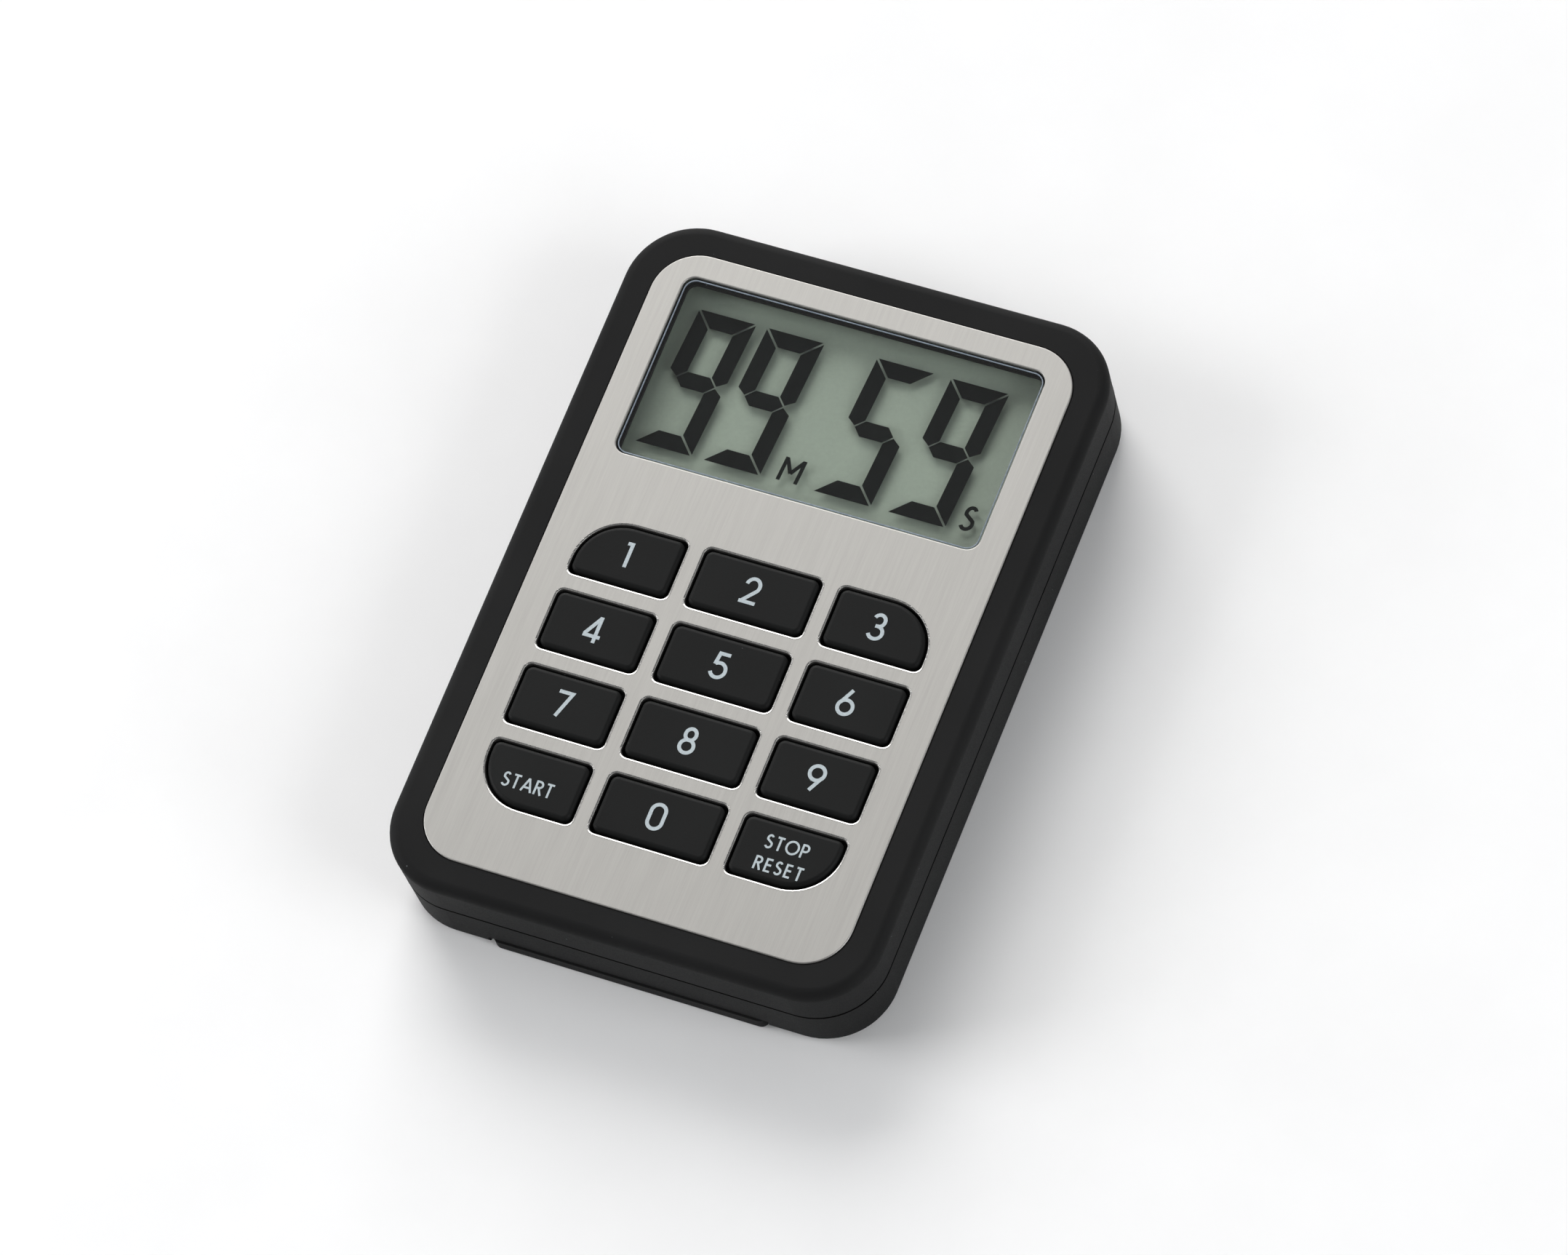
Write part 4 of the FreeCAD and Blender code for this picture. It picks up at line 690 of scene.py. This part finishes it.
# %% Seven bars
BAR_NAMES = {"9": "ABCDFG", "5": "ACDFG"}


def bar_outlines(wide, tall, thick, gap):
    """Outlines of bars A to G in an upright cell; g is the setback of each mitre from its corner."""
    g, t, m = gap / 2 * math.sqrt(2), thick, tall / 2
    left, right = t + g * 0.9, wide - t - g * 0.9
    top = [(g, tall), (wide - g, tall), (wide - t - g, tall - t), (t + g, tall - t)]
    upper_left = [(0, tall - g), (t, tall - t - g), (t, m + t / 2 + g * 0.4),
                  (t / 2 + 0.05, m + g * 0.9), (0, m + t * 0.45)]
    middle = [(t / 2 + g, m), (left, m + t / 2), (right, m + t / 2),
              (wide - t / 2 - g, m), (right, m - t / 2), (left, m - t / 2)]
    flip_x = lambda outline: [(wide - x, y) for x, y in outline[::-1]]
    flip_y = lambda outline: [(x, tall - y) for x, y in outline[::-1]]
    return {
        "A": top, "D": flip_y(top), "G": middle, "F": upper_left,
        "B": flip_x(upper_left), "E": flip_y(upper_left), "C": flip_y(flip_x(upper_left)),
    }


def sheet_of(outline, low, high):
    """A closed prism over an outline: the outline at two levels, a wall face for each side.

    The outline is turned round if its area, half the sum of x1 y2 - x2 y1 over its sides, is below 0.
    """
    after = np.roll(outline, -1, axis=0)
    if (outline[:, 0] * after[:, 1] - after[:, 0] * outline[:, 1]).sum() < 0:
        outline = outline[::-1]
    count = len(outline)
    points = np.vstack([np.column_stack([outline, np.full(count, level)]) for level in (low, high)])
    here = np.arange(count)
    there = (here + 1) % count
    walls = [tuple(face) for face in np.column_stack([here, there, there + count, here + count])]
    return points, walls + [tuple(here[::-1]), tuple(here + count)]


# %% Show the time
def box_of(node):
    """The two corners of a CAD node's box, in millimetres."""
    return (np.array(corner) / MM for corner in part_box(node))


FILM_GAP = 0.008
lens_low, lens_high = box_of("window_lens")
window_middle = (lens_low[:2] + lens_high[:2]) / 2
dark_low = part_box("lcd_rear_glass")[1].z / MM + FILM_GAP
dark_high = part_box("lcd_front_glass")[0].z / MM - FILM_GAP
figure_ink = plain_finish("display_dark", (0.004, 0.005, 0.005), (0.007, 0.008, 0.008),
                          0.6, 5200.0, specular=0.03)

FIGURE = {"wide": 7.42, "tall": 18.55, "thick": 2.1, "gap": 0.26}
LEAN = 0.06
FOOT = -9.13


def leaned(points, left, foot):
    """Shears upright points, x growing by LEAN times y, and moves them to (left, foot)."""
    return points + np.column_stack([left + LEAN * points[:, 1], np.full(len(points), foot)])


outlines = bar_outlines(**FIGURE)
parts = []
for figure, left in (("9", -22.19), ("9", -13.32), ("5", 0.91), ("9", 10.42)):
    for bar in BAR_NAMES[figure]:
        outline = leaned(np.array(outlines[bar]), left, FOOT) + window_middle
        parts.append(sheet_of(outline, dark_low, dark_high))
face_counts(add_piece("display_figures", *joined(parts), figure_ink, "case", "display_reflector"))

MARK_PEN, MARK_TALL = 0.48, 3.3
for letter, x, y in (("M", -2.45, 18.5), ("S", 20.16, 18.7)):
    upright_runs = word_lines(letter, MARK_TALL, MARK_PEN, 0.0)
    runs = [(leaned(points, x, y), closed) for points, closed in upright_runs]
    step = (dark_high - dark_low) / (len(runs) + 1)
    mark = printed(runs, MARK_PEN, dark_low, dark_low + step, step)
    face_counts(add_piece("display_mark_" + letter, *mark, figure_ink, "case", "display_reflector"))

# %% [markdown]
# ## Painted highlight on the lens bevel
#
# The lens is cut from clear sheet and its edge is bevelled. The lamp glints on the bevel as a fine pale
# line just inside the opening, and that glint is painted here as a matt pale blue track.
# It is one closed track round a rectangle with round corners, laid on the bevel.

# %% Painted highlight round the lens
def round_rectangle(wide, long, corner, count=12):
    """Four quarter circles, one at each corner, joined by straight runs; the middle is the origin."""
    x, y = wide / 2 - corner, long / 2 - corner
    return ring(*[arc((x * sx, y * sy), corner, corner, start, start + 90, count)
                  for sx, sy, start in ((1, 1, 0), (-1, 1, 90), (-1, -1, 180), (1, -1, 270))])


# Pale blue that paints the lamp's glint on the bevel; it is not a colour of the lens itself.
lens_glint_paint = plain_finish("lens_bevel_painted_highlight", (0.16, 0.20, 0.25), (0.26, 0.31, 0.37),
                         0.35, 3000.0, depth_mm=0.01)
EDGE_IN, EDGE_CORNER, EDGE_WIDE = 0.15, 1.4, 0.13
EDGE_FROM, EDGE_TO = 0.22, 0.09
lens_wide, lens_long = (lens_high - lens_low)[:2] - 2 * EDGE_IN
lens_outline = round_rectangle(lens_wide, lens_long, EDGE_CORNER) + window_middle
lens_top = lens_high[2]
lens_painted_highlight = track(lens_outline, EDGE_WIDE, lens_top - EDGE_FROM, lens_top - EDGE_TO, True)
face_counts(add_piece("lens_painted_highlight", *lens_painted_highlight, lens_glint_paint, "case", "clear_lens"))

# %% [markdown]
# ## Coined edges of the openings, with a painted highlight
#
# A punch rolls the steel over a little as it cuts, and the rolled edge is pressed smooth afterwards.
# It tips towards the light on the side of the foot, so each opening has a bright line there. The lip's
# steel is lighter than the plate's, which paints that highlight brighter than the tilt alone gives. The
# line's path is read from the plate itself: the points of its top face round one opening, put in the
# order of their angle about the key's middle. The lip slopes down into the opening over its width.

# %% Lips round the twelve openings
plate_mesh = nodes["face_plate"].data
plate_points = np.empty(len(plate_mesh.vertices) * 3)
plate_mesh.vertices.foreach_get("co", plate_points)
plate_points = plate_points.reshape(-1, 3) / MM
plate_top = plate_points[:, 2].max()
top_points = plate_points[plate_points[:, 2] > plate_top - 0.005, :2]


def opening_outline(key, beyond=0.75):
    """The plate's top points within a key's box plus a margin, sorted by atan2 about its middle."""
    low, high = (corner[:2] for corner in box_of(key))
    inside = ((top_points > low - beyond) & (top_points < high + beyond)).all(axis=1)
    near = np.unique(np.round(top_points[inside], 3), axis=0)
    across, up = (near - (low + high) / 2).T
    return ring(near[np.argsort(np.arctan2(up, across))])


LIP_WIDE, LIP_TALL, LIP_ROOT, LIP_PROUD = 0.13, 0.035, 0.1, 0.002
# Lighter than the plate's steel: the lighter tone is a painted highlight along the lips.
lip_steel_painted_glint = plain_finish("coined_steel_painted_glint", (0.50, 0.495, 0.48), (0.56, 0.555, 0.54),
                         0.26, 3000.0, metal=1.0)
lips = joined([
    track(opening_outline(key), LIP_WIDE, plate_top - LIP_ROOT, plate_top + LIP_PROUD, True, LIP_TALL)
    for key in nodes if key.startswith("key_")])
face_counts(add_piece("opening_lips", *lips, lip_steel_painted_glint, "case", "brushed_plate"))

# %% [markdown]
# ## Parting line
#
# The two housings meet halfway down the wall. The gap between them is too narrow for light to come
# out again, so its shade shows as a fine black line; that shade is painted as a black track round the
# wall just below the joint.

# %% Painted shade where the housings meet
WALL_CORNER, FRONT_DEEP = 8.55, 6.2
GAP_WIDE, GAP_TALL = 0.03, 0.28
housing_low, housing_high = box_of("rear_housing")
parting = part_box("front_housing")[1].z / MM - FRONT_DEEP
# Near-black that paints the shade inside the gap between the housings.
gap_painted_shade = plain_finish("gap_painted_shade", (0.0010, 0.0010, 0.0010), (0.0016, 0.0016, 0.0016),
                         0.9, 3000.0, specular=0.0)
wall = round_rectangle(*(housing_high - housing_low)[:2], WALL_CORNER, 24)
gap_shade_track = track(wall, GAP_WIDE, parting - GAP_TALL, parting, True)
face_counts(add_piece("parting_painted_shade", *gap_shade_track, gap_painted_shade, "case", "soft_touch_case"))

# %% [markdown]
# ## Marks moulded into the back
#
# Round the battery door a moulded timer carries raised words and an arrow that say which way the door
# turns. They are tracks too, but bent round the door: the distance along the word becomes an angle,
# and the height of a letter becomes a distance from the middle of the door. Seen from below left and
# right change places, so the angle runs the other way.

# %% Words round the battery door
door_low, door_high = box_of("battery_door")
door_x, door_y = (door_low[:2] + door_high[:2]) / 2
door_reach = (door_high[0] - door_low[0]) / 2
back_level = door_low[2]


def bent(points, radius, middle_angle):
    """(u, v) on the back: angle = middle - u / radius, distance = radius + v, and x is mirrored."""
    angle = math.radians(middle_angle) - points[:, 0] / radius
    away = radius + points[:, 1]
    return np.column_stack([door_x - away * np.cos(angle), door_y + away * np.sin(angle)])


def denser(points, closed, step=0.15):
    """More points along straight runs, so that they bend: places at even distances along the line."""
    path = np.vstack([points, points[:1]]) if closed else points
    far = np.concatenate([[0.0], np.cumsum(np.linalg.norm(np.diff(path, axis=0), axis=1))])
    even = np.linspace(0.0, far[-1], max(2, int(far[-1] / step)))
    along = np.unique(np.concatenate([far, even]))
    along = along[np.concatenate([[True], np.diff(along) > 1e-4])]
    dense = np.column_stack([np.interp(along, far, path[:, axis]) for axis in (0, 1)])
    return dense[:-1] if closed else dense


WORD_TALL, WORD_PEN, WORD_GAP, WORD_OUT = 1.35, 0.24, 0.22, 1.25
ARROW_OUT, ARROW_ANGLE = 1.35, 129.0
MARK_WIDE, MARK_DEEP, MARK_ROOT = 0.26, 0.14, 0.05
moulded = []
for word, angle in (("LOCK", 156.0), ("OPEN", 102.0)):
    moulded += [(bent(denser(points, closed), door_reach + WORD_OUT, angle), closed)
                for points, closed in word_lines(word, WORD_TALL, WORD_PEN, WORD_GAP)]
for part in (line((-1.9, 0.0), (1.9, 0.0)), line((1.2, 0.65), (1.95, 0.0), (1.2, -0.65))):
    moulded.append((bent(denser(part, OPEN), door_reach + ARROW_OUT, ARROW_ANGLE), OPEN))
marks = joined([
    track(points, MARK_WIDE, back_level - MARK_DEEP - LAYER * number, back_level + MARK_ROOT, closed)
    for number, (points, closed) in enumerate(moulded)])
mark_black = plain_finish("moulded_mark", (0.020, 0.020, 0.021), (0.030, 0.030, 0.031),
                          0.3, 2500.0, depth_mm=0.004)
face_counts(add_piece("battery_door_marks", *marks, mark_black, "case", "soft_touch_case"))

# %% [markdown]
# ## Floor
#
# A plain pale sheet under the timer. It isn't part of the object.

# %% Lay the floor
floor_paper = plain_finish("floor_paper", (0.90, 0.90, 0.90), (0.92, 0.92, 0.92), 0.9, 40.0, specular=0.1)
FLOOR_HALF, FLOOR_LEVEL = 2500.0, -0.05
corners = [(x * FLOOR_HALF, y * FLOOR_HALF, FLOOR_LEVEL) for x, y in ((-1, -1), (1, -1), (1, 1), (-1, 1))]
floor = add_piece("floor", corners, [(0, 1, 2, 3)], floor_paper)
